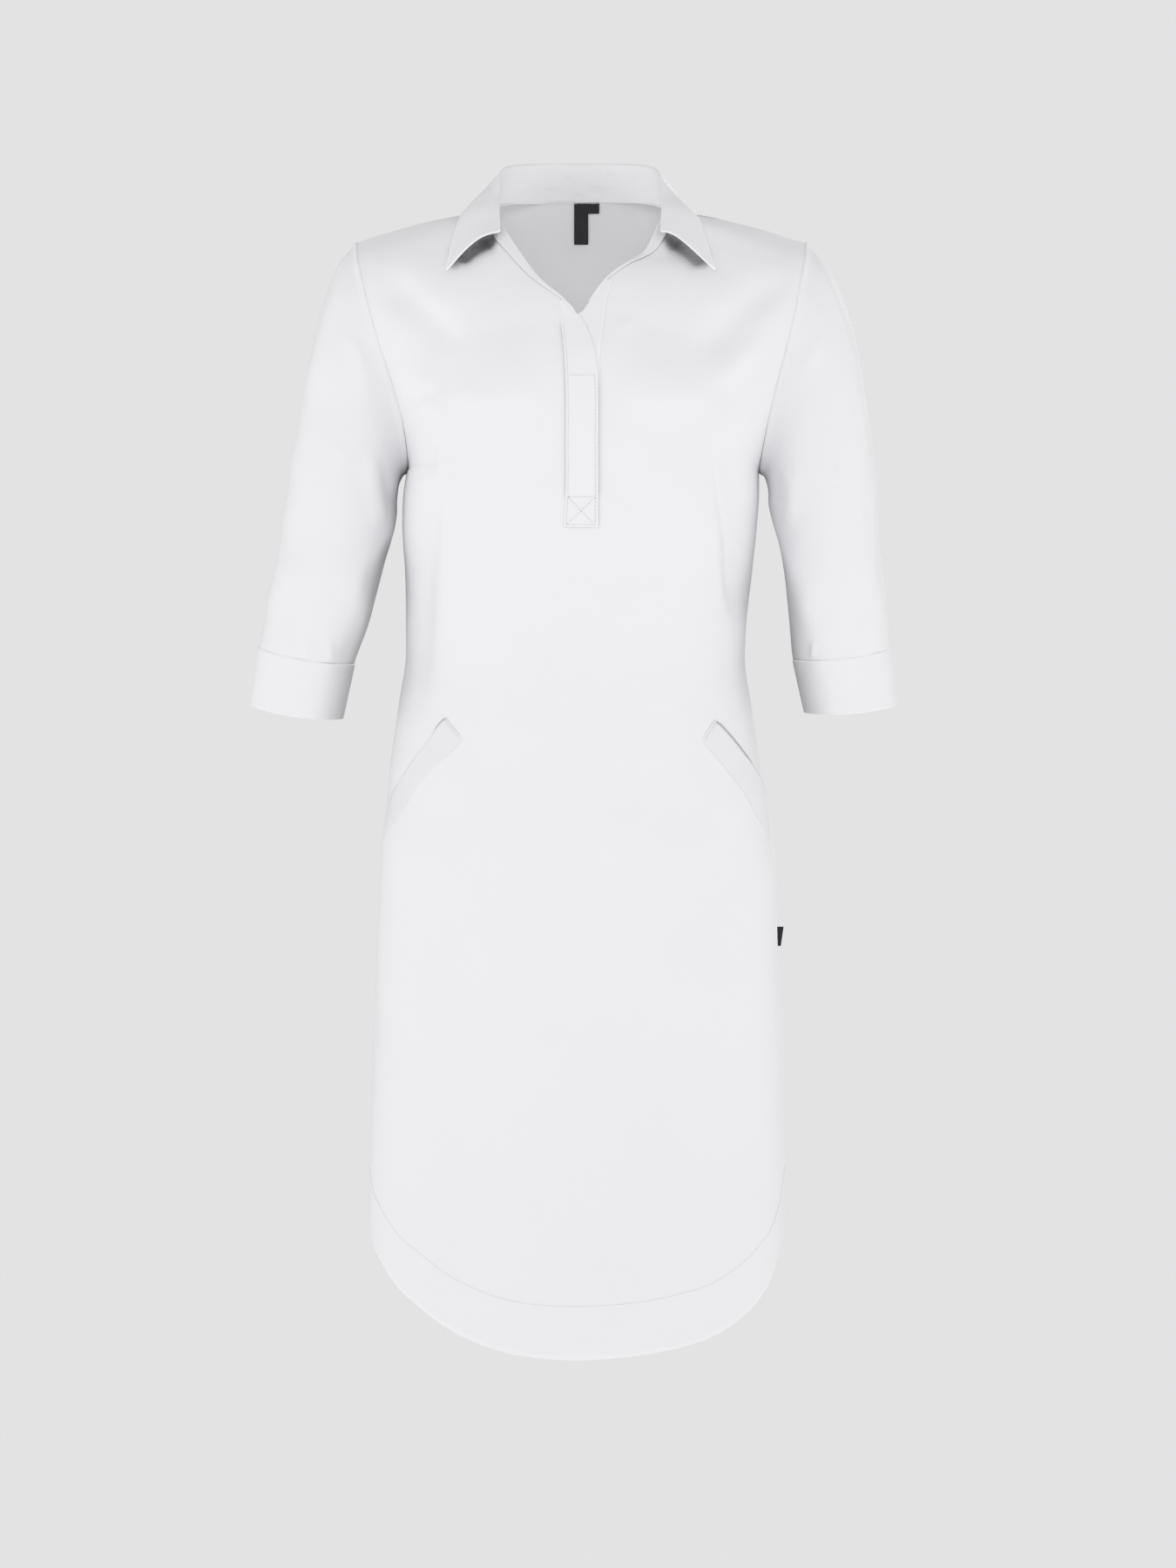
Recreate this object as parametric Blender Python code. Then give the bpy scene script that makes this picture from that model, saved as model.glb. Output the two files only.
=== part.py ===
"""Short nurse uniform dress with a turned-down collar, a half placket and three-quarter sleeves.

It is the hollow worn form, without a wearer. Every piece is one closed solid with its cloth thickness.
Lengths here are millimetres, +Z up. The front faces -Y, and the wearer's right side is at -X.
The origin is at the high shoulder point, midway between the shoulders, where a wearer holds the dress up.
"""

import math

import bpy
import numpy as np

# ---- driving sizes, millimetres ----
CLOTH = 1.2  # one layer of twill, drawn thick enough to be a solid
DOUBLE = 1.5  # folded bands: cuffs, collar
RIBBON = 0.8
SEAM = 0.4  # gap left between two pieces at a seam
LIFT = 0.4  # gap under a piece that lies on a panel

UNDERARM_Z = -231.0
SIDE_HEM_Z = -880.0
CENTRE_HEM_Z = -986.0
SLIT_END_Z = -268.0
SLIT = 0.9

# Level of the body; half widths at the wearer's right (-X) and left (+X); depth of the centre front and
# the centre back; fullness of the arc towards the centre and towards the side (0.55 is an ellipse).
# z, right, left, front, back, centre_full, side_full
BODY_LEVELS = (
    (-990, 184.5, 180.0, 117, 119, 0.60, 0.62),
    (-900, 184.0, 179.6, 117, 119, 0.60, 0.62),
    (-807, 182.2, 178.6, 117, 120, 0.60, 0.61),
    (-731, 179.5, 177.0, 118, 122, 0.60, 0.60),
    (-640, 176.3, 172.7, 118, 124, 0.60, 0.59),
    (-579, 173.3, 171.0, 117, 121, 0.60, 0.58),
    (-549, 170.9, 168.5, 116, 118, 0.60, 0.57),
    (-518, 167.3, 165.0, 114, 114, 0.60, 0.57),
    (-488, 164.8, 158.6, 111, 108, 0.60, 0.56),
    (-457, 160.7, 153.8, 108, 102, 0.60, 0.56),
    (-427, 156.4, 148.8, 106, 97, 0.60, 0.57),
    (-397, 151.6, 144.4, 105, 93, 0.60, 0.59),
    (-366, 151.2, 145.4, 106, 91, 0.61, 0.62),
    (-321, 151.8, 150.4, 110, 93, 0.62, 0.67),
    (-275, 154.2, 155.2, 116, 98, 0.63, 0.72),
    (-250, 153.2, 156.8, 118, 101, 0.63, 0.75),
    (-231, 150.4, 156.6, 119, 103, 0.63, 0.78),
)

# How far the curved hem hangs below the side seam, as a share of the drop at the centre, by how far out
# across the panel it is: share_out, right, left
HEM_CURVE = (
    (0.000, 1.000, 1.000),
    (0.180, 0.986, 0.985),
    (0.340, 0.944, 0.953),
    (0.485, 0.867, 0.908),
    (0.632, 0.750, 0.838),
    (0.745, 0.617, 0.736),
    (0.855, 0.470, 0.592),
    (0.932, 0.290, 0.415),
    (0.976, 0.155, 0.195),
    (1.000, 0.000, 0.000),
)

# The armhole edge, from underarm to shoulder tip.
# share, x_right, x_left, y_front, y_back, z, back_out
ARMHOLE = (
    (0.00, 150.4, 156.6, 0, 0, -231, 0),
    (0.08, 148.6, 156.4, -14, 15, -228, 0),
    (0.18, 149.0, 158.2, -30, 32, -215, 1),
    (0.30, 152.0, 162.5, -45, 48, -191, 3),
    (0.42, 160.0, 169.5, -53, 57, -160, 5),
    (0.55, 171.5, 178.5, -54, 59, -126, 5),
    (0.68, 180.5, 186.0, -50, 54, -95, 4),
    (0.80, 187.5, 191.5, -39, 42, -67, 2),
    (0.91, 192.3, 195.8, -22, 23, -46, 0),
    (1.00, 194.0, 197.6, 0, 0, -31, 0),
)

# Centre front from underarm level to the point of the neck opening: share, y, z.
FRONT_CENTRE = (
    (0.00, -119, -231),
    (0.12, -121, -206),
    (0.25, -119.5, -172),
    (0.38, -111.5, -136),
    (0.50, -98, -104.5),
)
# Front neck edge, from the point of the opening to the high shoulder point: share, x, y, z.
NECK_EDGE_RIGHT = (
    (0.50, 0.6, -98, -104.5),
    (0.57, 11.6, -91.5, -90.2),
    (0.65, 30.6, -81, -73.4),
    (0.78, 52.9, -58, -42.4),
    (0.90, 71.3, -28, -12.0),
    (0.95, 74.8, -14, -5.6),
    (1.00, 76.5, 0, -2.2),
)
NECK_EDGE_LEFT = (
    (0.50, 0.6, -98, -104.5),
    (0.56, 11.2, -91, -87.0),
    (0.62, 22.0, -83, -71.8),
    (0.69, 38.2, -71, -57.6),
    (0.76, 55.0, -56, -46.0),
    (0.83, 64.6, -42, -28.0),
    (0.91, 73.0, -26, -8.6),
    (0.955, 75.6, -13, -4.8),
    (1.00, 76.5, 0, -2.2),
)
# Handles of each front row from underarm to shoulder: out from the inner edge, in from the armhole.
# share, out_x, out_y, out_z, in_x, in_y, in_z
FRONT_HANDLES = (
    (0.00, 96.0, 0, 0, 0, -69, 0),
    (0.12, 90.0, -1, 0, -2, -56, 0),
    (0.25, 86.0, -2, 1, -14, -49, 2),
    (0.38, 80.0, -1, 1, -32, -40, 5),
    (0.50, 72.0, 0, 2, -44, -31, 7),
    (0.62, 54.0, 4, 3, -46, -24, 8),
    (0.75, 40.0, 8, 3, -44, -16, 8),
    (0.88, 36.0, 4, -2, -42, -8, 8),
    (1.00, 40.0, 0, -6, -40, 0, 13),
)

# Centre back from underarm level to the back neck, then the neck edge to the high shoulder point.
BACK_CENTRE = (
    (0.00, 103, -231),
    (0.20, 107, -180),
    (0.38, 107, -130),
    (0.54, 99, -78),
    (0.66, 84, -29),
    (0.74, 66, 12.6),
)
BACK_NECK = (
    (0.74, 0, 66, 12.6),
    (0.81, 32, 59, 11.6),
    (0.89, 59, 37.5, 8.0),
    (0.95, 72, 17, 2.6),
    (1.00, 76.5, 0, -2.2),
)
BACK_HANDLES = (
    (0.00, 98.0, 0, 0, 0, 60, 0),
    (0.12, 98.0, 0, 0, -1, 48, 0),
    (0.25, 94.0, 0, 0, -12, 44, 2),
    (0.38, 88.0, 0, 0, -30, 38, 4),
    (0.50, 80.0, 0, 0, -44, 30, 6),
    (0.62, 66.0, -1, 0, -48, 22, 8),
    (0.74, 52.0, -1, -4, -46, 14, 9),
    (0.87, 40.0, -1, -7, -42, 7, 10),
    (1.00, 40.0, 0, -6, -40, 0, 13),
)

# Soft folds of the two panels, seen square on: panel, x and z where each starts and ends, half width,
# height (a trough is negative), and the share of its length over which it fades in and out.
# panel, x0, z0, x1, z1, half_width, height, fade
FOLDS = (
    ("front", -160, -92, -112, -178, 21, -5.0, 0.35),
    ("front", -146, -150, -96, -235, 20, 2.5, 0.40),
    ("front", 176, -62, 112, -120, 19, -6.0, 0.35),
    ("front", 158, -112, 106, -170, 17, 4.0, 0.40),
    ("front", -128, -222, -134, -470, 15, -5.0, 0.30),
    ("front", 116, -200, 133, -380, 15, -7.0, 0.30),
    ("front", 98, -225, 112, -330, 16, 2.0, 0.40),
    ("front", -90, -385, -101, -452, 12, -2.0, 0.40),
    ("front", 96, -395, 108, -455, 12, -1.5, 0.40),
    ("back", -40, -300, -46, -520, 26, -5.0, 0.40),
    ("back", 44, -290, 40, -540, 26, -5.0, 0.40),
    ("back", -132, -140, -96, -245, 20, -5.0, 0.35),
    ("back", 134, -150, 100, -250, 20, -5.0, 0.35),
    ("back", -100, -560, -108, -850, 34, -4.0, 0.40),
    ("back", 92, -600, 104, -900, 34, -4.0, 0.40),
)

# Sleeve rings from the armhole to the cuff seam: outer and inner point of the ring seen from the front,
# front-to-back size, middle of the ring in y, how far its front hangs below its sides.
# share, outer_x, outer_z, inner_x, inner_z, size_y, middle_y, dip
SLEEVE_RIGHT = (
    (0.00, -194.0, -31.0, -149.5, -231.5, 112, 1.0, 0.0),
    (0.06, -206.3, -47.1, -153.8, -236.0, 114, 0.8, 0.0),
    (0.13, -216.0, -70.0, -156.8, -241.5, 116, 0.4, 0.0),
    (0.20, -224.2, -94.2, -158.6, -248.5, 118, 0.0, 0.0),
    (0.27, -230.7, -117.0, -160.0, -257.0, 118, -0.5, 0.0),
    (0.34, -236.4, -144.4, -160.2, -267.0, 117, -1.0, 0.0),
    (0.41, -241.7, -173.3, -162.2, -279.5, 116, -2.0, 0.5),
    (0.49, -247.6, -206.7, -165.3, -291.5, 115, -3.0, 1.0),
    (0.60, -254.6, -252.3, -170.4, -309.5, 112, -4.5, 2.0),
    (0.70, -260.7, -290.3, -175.3, -329.8, 109, -6.0, 3.0),
    (0.80, -267.5, -326.8, -181.0, -349.6, 105, -8.0, 4.0),
    (0.90, -273.6, -360.2, -188.0, -372.0, 101, -10.0, 4.5),
    (1.00, -277.6, -384.0, -196.6, -398.2, 97, -12.0, 4.5),
)
SLEEVE_LEFT = (
    (0.00, 197.6, -31.0, 155.8, -231.5, 112, 1.0, 0.0),
    (0.06, 211.7, -47.1, 160.0, -235.8, 114, 0.8, 0.0),
    (0.13, 224.7, -70.0, 162.4, -241.7, 116, 0.4, 0.0),
    (0.20, 233.7, -94.2, 164.0, -250.0, 118, 0.0, 0.0),
    (0.27, 240.2, -117.0, 164.9, -259.9, 118, -0.5, 0.0),
    (0.34, 245.2, -144.4, 167.8, -271.3, 117, -1.0, 0.0),
    (0.41, 249.3, -173.3, 171.2, -282.7, 116, -2.0, 0.5),
    (0.49, 253.3, -206.7, 174.8, -294.9, 115, -3.0, 1.0),
    (0.60, 257.6, -252.3, 179.0, -316.9, 112, -4.5, 2.0),
    (0.70, 260.3, -290.3, 181.5, -339.7, 109, -6.0, 3.0),
    (0.80, 263.3, -326.8, 183.9, -360.2, 105, -8.0, 4.0),
    (0.90, 265.8, -360.2, 185.6, -380.0, 101, -10.0, 4.5),
    (1.00, 267.9, -385.3, 187.0, -395.0, 97, -12.0, 4.5),
)
# Lower edge of each cuff, in the same columns from outer_x on.
CUFF_RIGHT_END = (-284.2, -433.2, -206.7, -445.4, 95, -13.0, 4.0)
CUFF_LEFT_END = (274.4, -433.2, 196.8, -440.0, 95, -13.0, 4.0)
CUFF_PROUD = 1.0

# Collar stations from the centre back to the front end: seam, fold and outer edge, then how far the
# leaf bulges off the straight line between fold and outer edge.
# share, seam x y z, fold x y z, edge x y z, bulge
COLLAR_RIGHT = (
    (0.00, 0, 65.0, 13.3, 0, 66.5, 46.5, 0, 84.5, -14.0, 2.0),
    (0.16, 31, 58.5, 12.3, 32, 58.0, 45.5, 41, 79.5, -13.0, 2.0),
    (0.32, 58, 38.0, 9.0, 56, 37.5, 41.5, 78, 60.5, -7.5, 2.0),
    (0.46, 71, 18.0, 3.8, 67.4, 18.0, 34.5, 94, 31.5, -0.8, 2.0),
    (0.57, 75.2, 0.5, -0.4, 69.8, 1.0, 21.0, 98.5, 5.0, -1.6, 2.0),
    (0.70, 74.6, -13.0, -2.8, 69.8, -14.0, 6.5, 103.0, -16.5, -8.5, 3.0),
    (0.85, 72.2, -28.5, -9.4, 68.8, -31.5, -7.5, 108.0, -40.0, -29.0, 5.0),
    (1.00, 69.5, -47.0, -25.5, 67.6, -51.5, -25.0, 114.5, -69.5, -61.5, 9.0),
)
COLLAR_LEFT = (
    (0.00, 0, 65.0, 13.3, 0, 66.5, 46.5, 0, 84.5, -14.0, 2.0),
    (0.16, 31, 58.5, 12.3, 32, 58.0, 45.5, 41, 79.5, -13.0, 2.0),
    (0.32, 58, 38.0, 9.0, 56, 37.5, 41.5, 77, 60.5, -7.5, 2.0),
    (0.46, 71, 18.0, 3.8, 67.8, 18.0, 34.5, 92.5, 31.5, -0.8, 2.0),
    (0.57, 75.4, 0.5, -0.4, 71.4, 1.0, 21.0, 95.5, 5.0, -1.2, 2.0),
    (0.70, 75.4, -13.0, -2.2, 71.6, -14.0, 7.5, 100.5, -15.0, -6.5, 3.0),
    (0.85, 74.4, -27.5, -8.4, 71.0, -31.5, -6.5, 106.5, -36.0, -24.5, 5.0),
    (1.00, 72.6, -44.5, -24.5, 69.8, -50.0, -24.5, 117.0, -69.0, -61.0, 9.0),
)
FOLD_RADIUS = 2.3

# Placket layers seen square on: z, then the x of the sewn edge and of the other edge.
PLACKET_TOP = (
    (-91.0, -16.6, -11.6),
    (-104.5, -15.4, 0.2),
    (-113.0, -14.6, 5.0),
    (-131.3, -12.8, 11.6),
    (-150.3, -11.4, 14.6),
    (-170.0, -10.9, 15.6),
    (-215.0, -10.9, 15.6),
    (-256.0, -11.2, 15.8),
    (-283.0, -13.0, 15.8),
)
PLACKET_UNDER = (
    (-72.5, 28.0, 21.6),
    (-87.0, 23.6, 10.4),
    (-104.5, 20.8, -1.0),
    (-131.3, 18.0, -4.0),
    (-150.3, 15.9, -4.0),
    (-170.0, 15.4, -4.0),
    (-215.0, 15.4, -4.0),
    (-262.0, 15.4, -4.0),
)
# The facing turned out along the neck edge: share of the panel's height, width of the strip.
FACING_RIGHT = (
    (0.570, 1.6),
    (0.63, 3.6),
    (0.70, 7.0),
    (0.77, 10.0),
    (0.83, 12.0),
    (0.865, 10.5),
)
FACING_LEFT = (
    (0.620, 1.6),
    (0.68, 3.0),
    (0.74, 5.5),
    (0.79, 8.5),
    (0.84, 9.5),
    (0.870, 8.0),
)

# Pocket welts seen square on, from the end on the front to the side seam: upper x z, lower x z.
WELT_RIGHT = (
    (-113.6, -445.0, -98.6, -463.0),
    (-123.0, -456.0, -112.2, -476.4),
    (-137.6, -475.8, -127.0, -490.0),
    (-151.6, -495.6, -140.6, -506.2),
    (-159.2, -506.4, -151.4, -527.0),
    (-163.6, -516.4, -166.8, -549.0),
)
WELT_LEFT = (
    (114.2, -447.6, 104.0, -463.8),
    (127.0, -462.6, 116.8, -478.8),
    (138.0, -476.4, 131.8, -497.0),
    (146.6, -486.6, 142.6, -511.0),
    (153.4, -498.0, 153.4, -529.2),
    (160.0, -513.0, 165.0, -549.0),
)

# Labels: width, drop, x of the left edge, z of the top.
NECK_LABEL = (12.2, 34.5, -4.6, 11.2)
SIZE_TAB = (9.6, 8.2, 7.9, 11.2)
SIDE_TAB_Z = (-628.0, -644.0)
SIDE_TAB_OUT = (5.0, 2.2)

# ---- grid sizes ----
PANEL_ROWS_LOW, PANEL_COLUMNS = 14, 11
FRONT_ROWS_HIGH = (0, 0.08, 0.17, 0.26, 0.34, 0.42, 0.50, 0.57, 0.64, 0.71, 0.78, 0.84, 0.89, 0.945, 1)
BACK_ROWS_HIGH = (0, 0.09, 0.18, 0.28, 0.38, 0.48, 0.58, 0.66, 0.74, 0.785, 0.83, 0.875, 0.92, 0.96, 1)
SLEEVE_RINGS, SLEEVE_SIDES = 17, 20
COLLAR_STATIONS = 14

CLOTH_COLOUR = (0.85, 0.86, 0.88, 1.0)
BLACK_COLOUR = (0.012, 0.012, 0.013, 1.0)


# ---- curves ----
def smooth(table, at, first=0):
    """A smooth curve through the table's rows, whose first column is the position; the rest is returned."""
    rows = np.array(table, float)
    knots, values = rows[:, 0], rows[:, 1 + first :]
    if knots[0] > knots[-1]:
        knots, values = knots[::-1], values[::-1]
    steps = np.diff(knots)
    slopes = np.diff(values, axis=0) / steps[:, None]
    tangents = np.empty_like(values)
    tangents[0], tangents[-1] = slopes[0], slopes[-1]
    before, after = steps[:-1, None], steps[1:, None]
    tangents[1:-1] = (slopes[:-1] * after + slopes[1:] * before) / (before + after)
    at = min(max(float(at), knots[0]), knots[-1])
    i = min(max(int(np.searchsorted(knots, at)) - 1, 0), len(steps) - 1)
    u = (at - knots[i]) / steps[i]
    h = (
        2 * u**3 - 3 * u**2 + 1,
        (u**3 - 2 * u**2 + u) * steps[i],
        -2 * u**3 + 3 * u**2,
        (u**3 - u**2) * steps[i],
    )
    return h[0] * values[i] + h[1] * tangents[i] + h[2] * values[i + 1] + h[3] * tangents[i + 1]


def bezier(a, b, c, d, t):
    s = 1 - t
    return s**3 * a + 3 * s * s * t * b + 3 * s * t * t * c + t**3 * d


def cut_arc(width, depth, centre_full, side_full, y_edge):
    """Handles of the part of a body arc that runs from the centre to where it is y_edge deep."""
    a, b = np.array([0.0, depth]), np.array([centre_full * width, depth])
    c, d = np.array([width, side_full * depth]), np.array([width, 0.0])
    low, high = 0.0, 1.0
    for _ in range(30):
        t = (low + high) / 2
        if bezier(a, b, c, d, t)[1] > y_edge:
            low = t
        else:
            high = t
    ab, bc, cd = a + (b - a) * t, b + (c - b) * t, c + (d - c) * t
    abc, bcd = ab + (bc - ab) * t, bc + (cd - bc) * t
    end = abc + (bcd - abc) * t
    return ab - a, abc - end


def unit(v):
    return v / max(float(np.linalg.norm(v)), 1e-12)


def ease(u):
    u = min(max(u, 0.0), 1.0)
    return u * u * (3 - 2 * u)


# ---- panels ----
def hem_z(side, share_out):
    right, left = smooth(HEM_CURVE, share_out)
    return SIDE_HEM_Z + (CENTRE_HEM_Z - SIDE_HEM_Z) * float(right if side < 0 else left)


def panel_base(panel, side, v, t):
    """Outer face of a panel. v runs 0 at the hem, 1 at the underarm, 2 at the shoulder; t from centre to edge."""
    sign = -1.0 if panel == "front" else 1.0
    if v <= 1:
        level = SIDE_HEM_Z + (UNDERARM_Z - SIDE_HEM_Z) * v
        hang = max(0.0, 1 - v / 0.75) ** 1.6
        z = level + (hem_z(side, bezier(0.0, 0.6, 1.0, 1.0, t)) - SIDE_HEM_Z) * hang
        right, left, front, back, full_c, full_s = smooth(BODY_LEVELS, z)
        width = right if side < 0 else left
        depth = front if panel == "front" else back
        x = bezier(0.0, full_c, 1.0, 1.0, t) * width
        y = bezier(1.0, 1.0, full_s, 0.0, t) * depth * sign
        return np.array([side * x, y, z])
    share = v - 1
    right, left, front, back, z, out = smooth(ARMHOLE, share)
    width = right if side < 0 else left
    if panel == "front":
        outer = np.array([width, front, z])
        if share < 0.5:
            y0, z0 = smooth(FRONT_CENTRE, share)
            inner = np.array([0.0, y0, z0])
        else:
            inner = smooth(NECK_EDGE_RIGHT if side < 0 else NECK_EDGE_LEFT, share)
        handles = smooth(FRONT_HANDLES, share)
    else:
        outer = np.array([width + out, back, z])
        if share < 0.74:
            y0, z0 = smooth(BACK_CENTRE, share)
            inner = np.array([0.0, y0, z0])
        else:
            inner = smooth(BACK_NECK, share)
        handles = smooth(BACK_HANDLES, share)
    if share < 0.36:
        _, _, _, _, full_c, full_s = smooth(BODY_LEVELS, UNDERARM_Z)
        out, back_in = cut_arc(width, abs(inner[1]), full_c, full_s, abs(outer[1]))
        arc = np.array([out[0], out[1] * sign, 0.0, back_in[0], back_in[1] * sign, 0.0])
        handles = arc + (handles - arc) * ease(share / 0.36)
    point = bezier(inner, inner + handles[:3], outer + handles[3:], outer, t)
    point[0] *= side
    return point


def fold_height(panel, x, z):
    total = 0.0
    for name, x0, z0, x1, z1, half, height, fade in FOLDS:
        if name != panel:
            continue
        run = np.array([x1 - x0, z1 - z0], float)
        along = ((x - x0) * run[0] + (z - z0) * run[1]) / float(run @ run)
        if along <= 0 or along >= 1:
            continue
        across = abs((x - x0) * run[1] - (z - z0) * run[0]) / float(np.linalg.norm(run))
        if across >= 2 * half:
            continue
        end = ease(min(along, 1 - along) / fade)
        total += height * end * math.exp(-((across / half) ** 2) * 1.6)
    return total


def panel_point(panel, side, v, t):
    """Outer face of a panel with its folds."""
    point = panel_base(panel, side, v, t)
    keep = ease((1 - t) / 0.12)
    height = fold_height(panel, point[0], point[2]) * keep
    if abs(height) < 1e-6:
        return point
    return point + height * panel_normal(panel, side, v, t)


def panel_normal(panel, side, v, t):
    e = 0.004
    v0, v1, t0, t1 = max(v - e, 0), min(v + e, 2), max(t - e, 0), min(t + e, 1)
    along_v = panel_base(panel, side, v1, t) - panel_base(panel, side, v0, t)
    along_t = panel_base(panel, side, v, t1) - panel_base(panel, side, v, t0)
    normal = unit(np.cross(along_t, along_v))
    return normal if (panel == "front") == (side > 0) else -normal


def find_on(panel, x, z):
    """The (side, v, t) of the panel's point that is seen at this x and z."""
    side = -1 if x < 0 else 1
    v, t = 1.0, 0.4
    best = None
    for i in range(41):
        for j in range(11):
            p = panel_base(panel, side, i / 20, j / 10)
            miss = (p[0] - x) ** 2 + (p[2] - z) ** 2
            if best is None or miss < best:
                best, v, t = miss, i / 20, j / 10
    step_v, step_t = 0.025, 0.05
    for _ in range(34):
        moved = False
        for dv, dt in ((step_v, 0), (-step_v, 0), (0, step_t), (0, -step_t)):
            nv, nt = min(max(v + dv, 0), 2), min(max(t + dt, 0), 1)
            p = panel_base(panel, side, nv, nt)
            miss = (p[0] - x) ** 2 + (p[2] - z) ** 2
            if miss < best:
                best, v, t, moved = miss, nv, nt, True
        if not moved:
            step_v, step_t = step_v / 2, step_t / 2
    return side, v, t


def lay(panel, x, z, lift):
    """A point over the panel at this x and z, moved off its outer face by lift."""
    side, v, t = find_on(panel, x, z)
    return panel_point(panel, side, v, t) + lift * panel_normal(panel, side, v, t)


# ---- solids ----
def solid(name, points, quads, wall, slot, seam_normals=None):
    """A closed solid: the given face, the same face moved inwards by the wall, and the rim between them."""
    points = np.array(points, float)
    faces = [tuple(q) for q in quads]
    normals = np.zeros_like(points)
    for q in faces:
        a, b, c, d = (points[k] for k in q)
        n = np.cross(c - a, d - b)
        for k in q:
            normals[k] += n
    normals /= np.linalg.norm(normals, axis=1)[:, None]
    for k, normal in (seam_normals or {}).items():
        normals[k] = normal
    inner = points - normals * wall
    count = len(points)
    used = {}
    for q in faces:
        for i in range(4):
            edge = (q[i], q[(i + 1) % 4])
            used[edge] = used.get(edge, 0) + 1
    mesh_faces = list(faces)
    mesh_faces += [tuple(k + count for k in reversed(q)) for q in faces]
    for a, b in used:
        if (b, a) not in used:
            mesh_faces.append((b, a, a + count, b + count))
    mesh = bpy.data.meshes.new(name)
    mesh.from_pydata((np.vstack([points, inner]) / 1000).tolist(), [], mesh_faces)
    mesh.update()
    made = bpy.data.objects.new(name, mesh)
    bpy.context.scene.collection.objects.link(made)
    made.data.materials.append(material(slot))
    return made


def material(slot):
    found = bpy.data.materials.get(slot)
    if found:
        return found
    made = bpy.data.materials.new(slot)
    made.use_nodes = True
    shader = made.node_tree.nodes["Principled BSDF"]
    black = slot == "black_ribbon"
    shader.inputs["Base Color"].default_value = BLACK_COLOUR if black else CLOTH_COLOUR
    shader.inputs["Roughness"].default_value = 0.6 if black else 0.8
    return made


def grid_solid(name, grid, wall, slot, closed=False, flip=False, seam_normals=None):
    """A solid from a grid of rows of points; closed joins each row's end to its start."""
    rows, columns = len(grid), len(grid[0])
    points = [p for row in grid for p in row]
    quads = []
    for i in range(rows - 1):
        for j in range(columns if closed else columns - 1):
            k = (j + 1) % columns
            quad = (i * columns + j, i * columns + k, (i + 1) * columns + k, (i + 1) * columns + j)
            quads.append(quad[::-1] if flip else quad)
    return solid(name, points, quads, wall, slot, seam_normals)


# ---- pieces ----
def panel_heights(panel):
    low = [i / PANEL_ROWS_LOW for i in range(PANEL_ROWS_LOW)]
    return low + [1 + share for share in (FRONT_ROWS_HIGH if panel == "front" else BACK_ROWS_HIGH)]


def build_panel(panel):
    heights = panel_heights(panel)
    split_at = 1.5 if panel == "front" else 1.74
    side_gap = SEAM / 2
    points, index, seams = [], {}, {}
    columns = PANEL_COLUMNS

    def edge_shift(side, v, t, point):
        """Keeps half a seam gap clear at the side seam, the armhole and the shoulder."""
        shift, normal = np.zeros(3), None
        if v > 1.999:
            normal = shoulder_normal(side, t)
            shift[1] = -side_gap if panel == "front" else side_gap
        if t > 0.999 and v <= 1.0:
            shift[1] = -side_gap if panel == "front" else side_gap
        elif t > 0.999:
            armhole, panel_way, _, _ = armhole_seam(panel, side, v - 1)
            shift = shift - panel_way * side_gap
            if normal is None:
                normal = armhole
            else:
                normal = unit((normal + armhole) * np.array([1, 0, 1]))
        return point + shift, normal

    for i, v in enumerate(heights):
        for side in (-1, 1):
            for j in range(columns + 1):
                t = j / columns
                t = t * (1.15 - 0.15 * t)
                point, seam_normal = edge_shift(side, v, t, panel_point(panel, side, v, t))
                if j == 0 and v < split_at - 1e-6:
                    slit = panel == "front" and point[2] > SLIT_END_Z
                    if slit:
                        point = point + np.array([side * SLIT / 2, 0, 0])
                    elif side == 1:
                        index[(i, 1, 0)] = index[(i, -1, 0)]
                        continue
                elif j == 0 and panel == "back" and abs(v - split_at) < 1e-6 and side == 1:
                    index[(i, 1, 0)] = index[(i, -1, 0)]
                    continue
                index[(i, side, j)] = len(points)
                if seam_normal is not None:
                    seams[len(points)] = seam_normal
                points.append(point)
    quads = []
    for i in range(len(heights) - 1):
        for side in (-1, 1):
            for j in range(columns):
                quad = (
                    index[(i, side, j)],
                    index[(i, side, j + 1)],
                    index[(i + 1, side, j + 1)],
                    index[(i + 1, side, j)],
                )
                flip = (side < 0) != (panel == "back")
                quads.append(quad[::-1] if flip else quad)
    return solid(panel, points, quads, CLOTH, "white_twill", seams)


def shoulder_normal(side, t):
    """The outward direction shared by both panels along the shoulder seam."""
    both = panel_normal("front", side, 2, t) + panel_normal("back", side, 2, t)
    both[1] = 0
    return unit(both)


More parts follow.
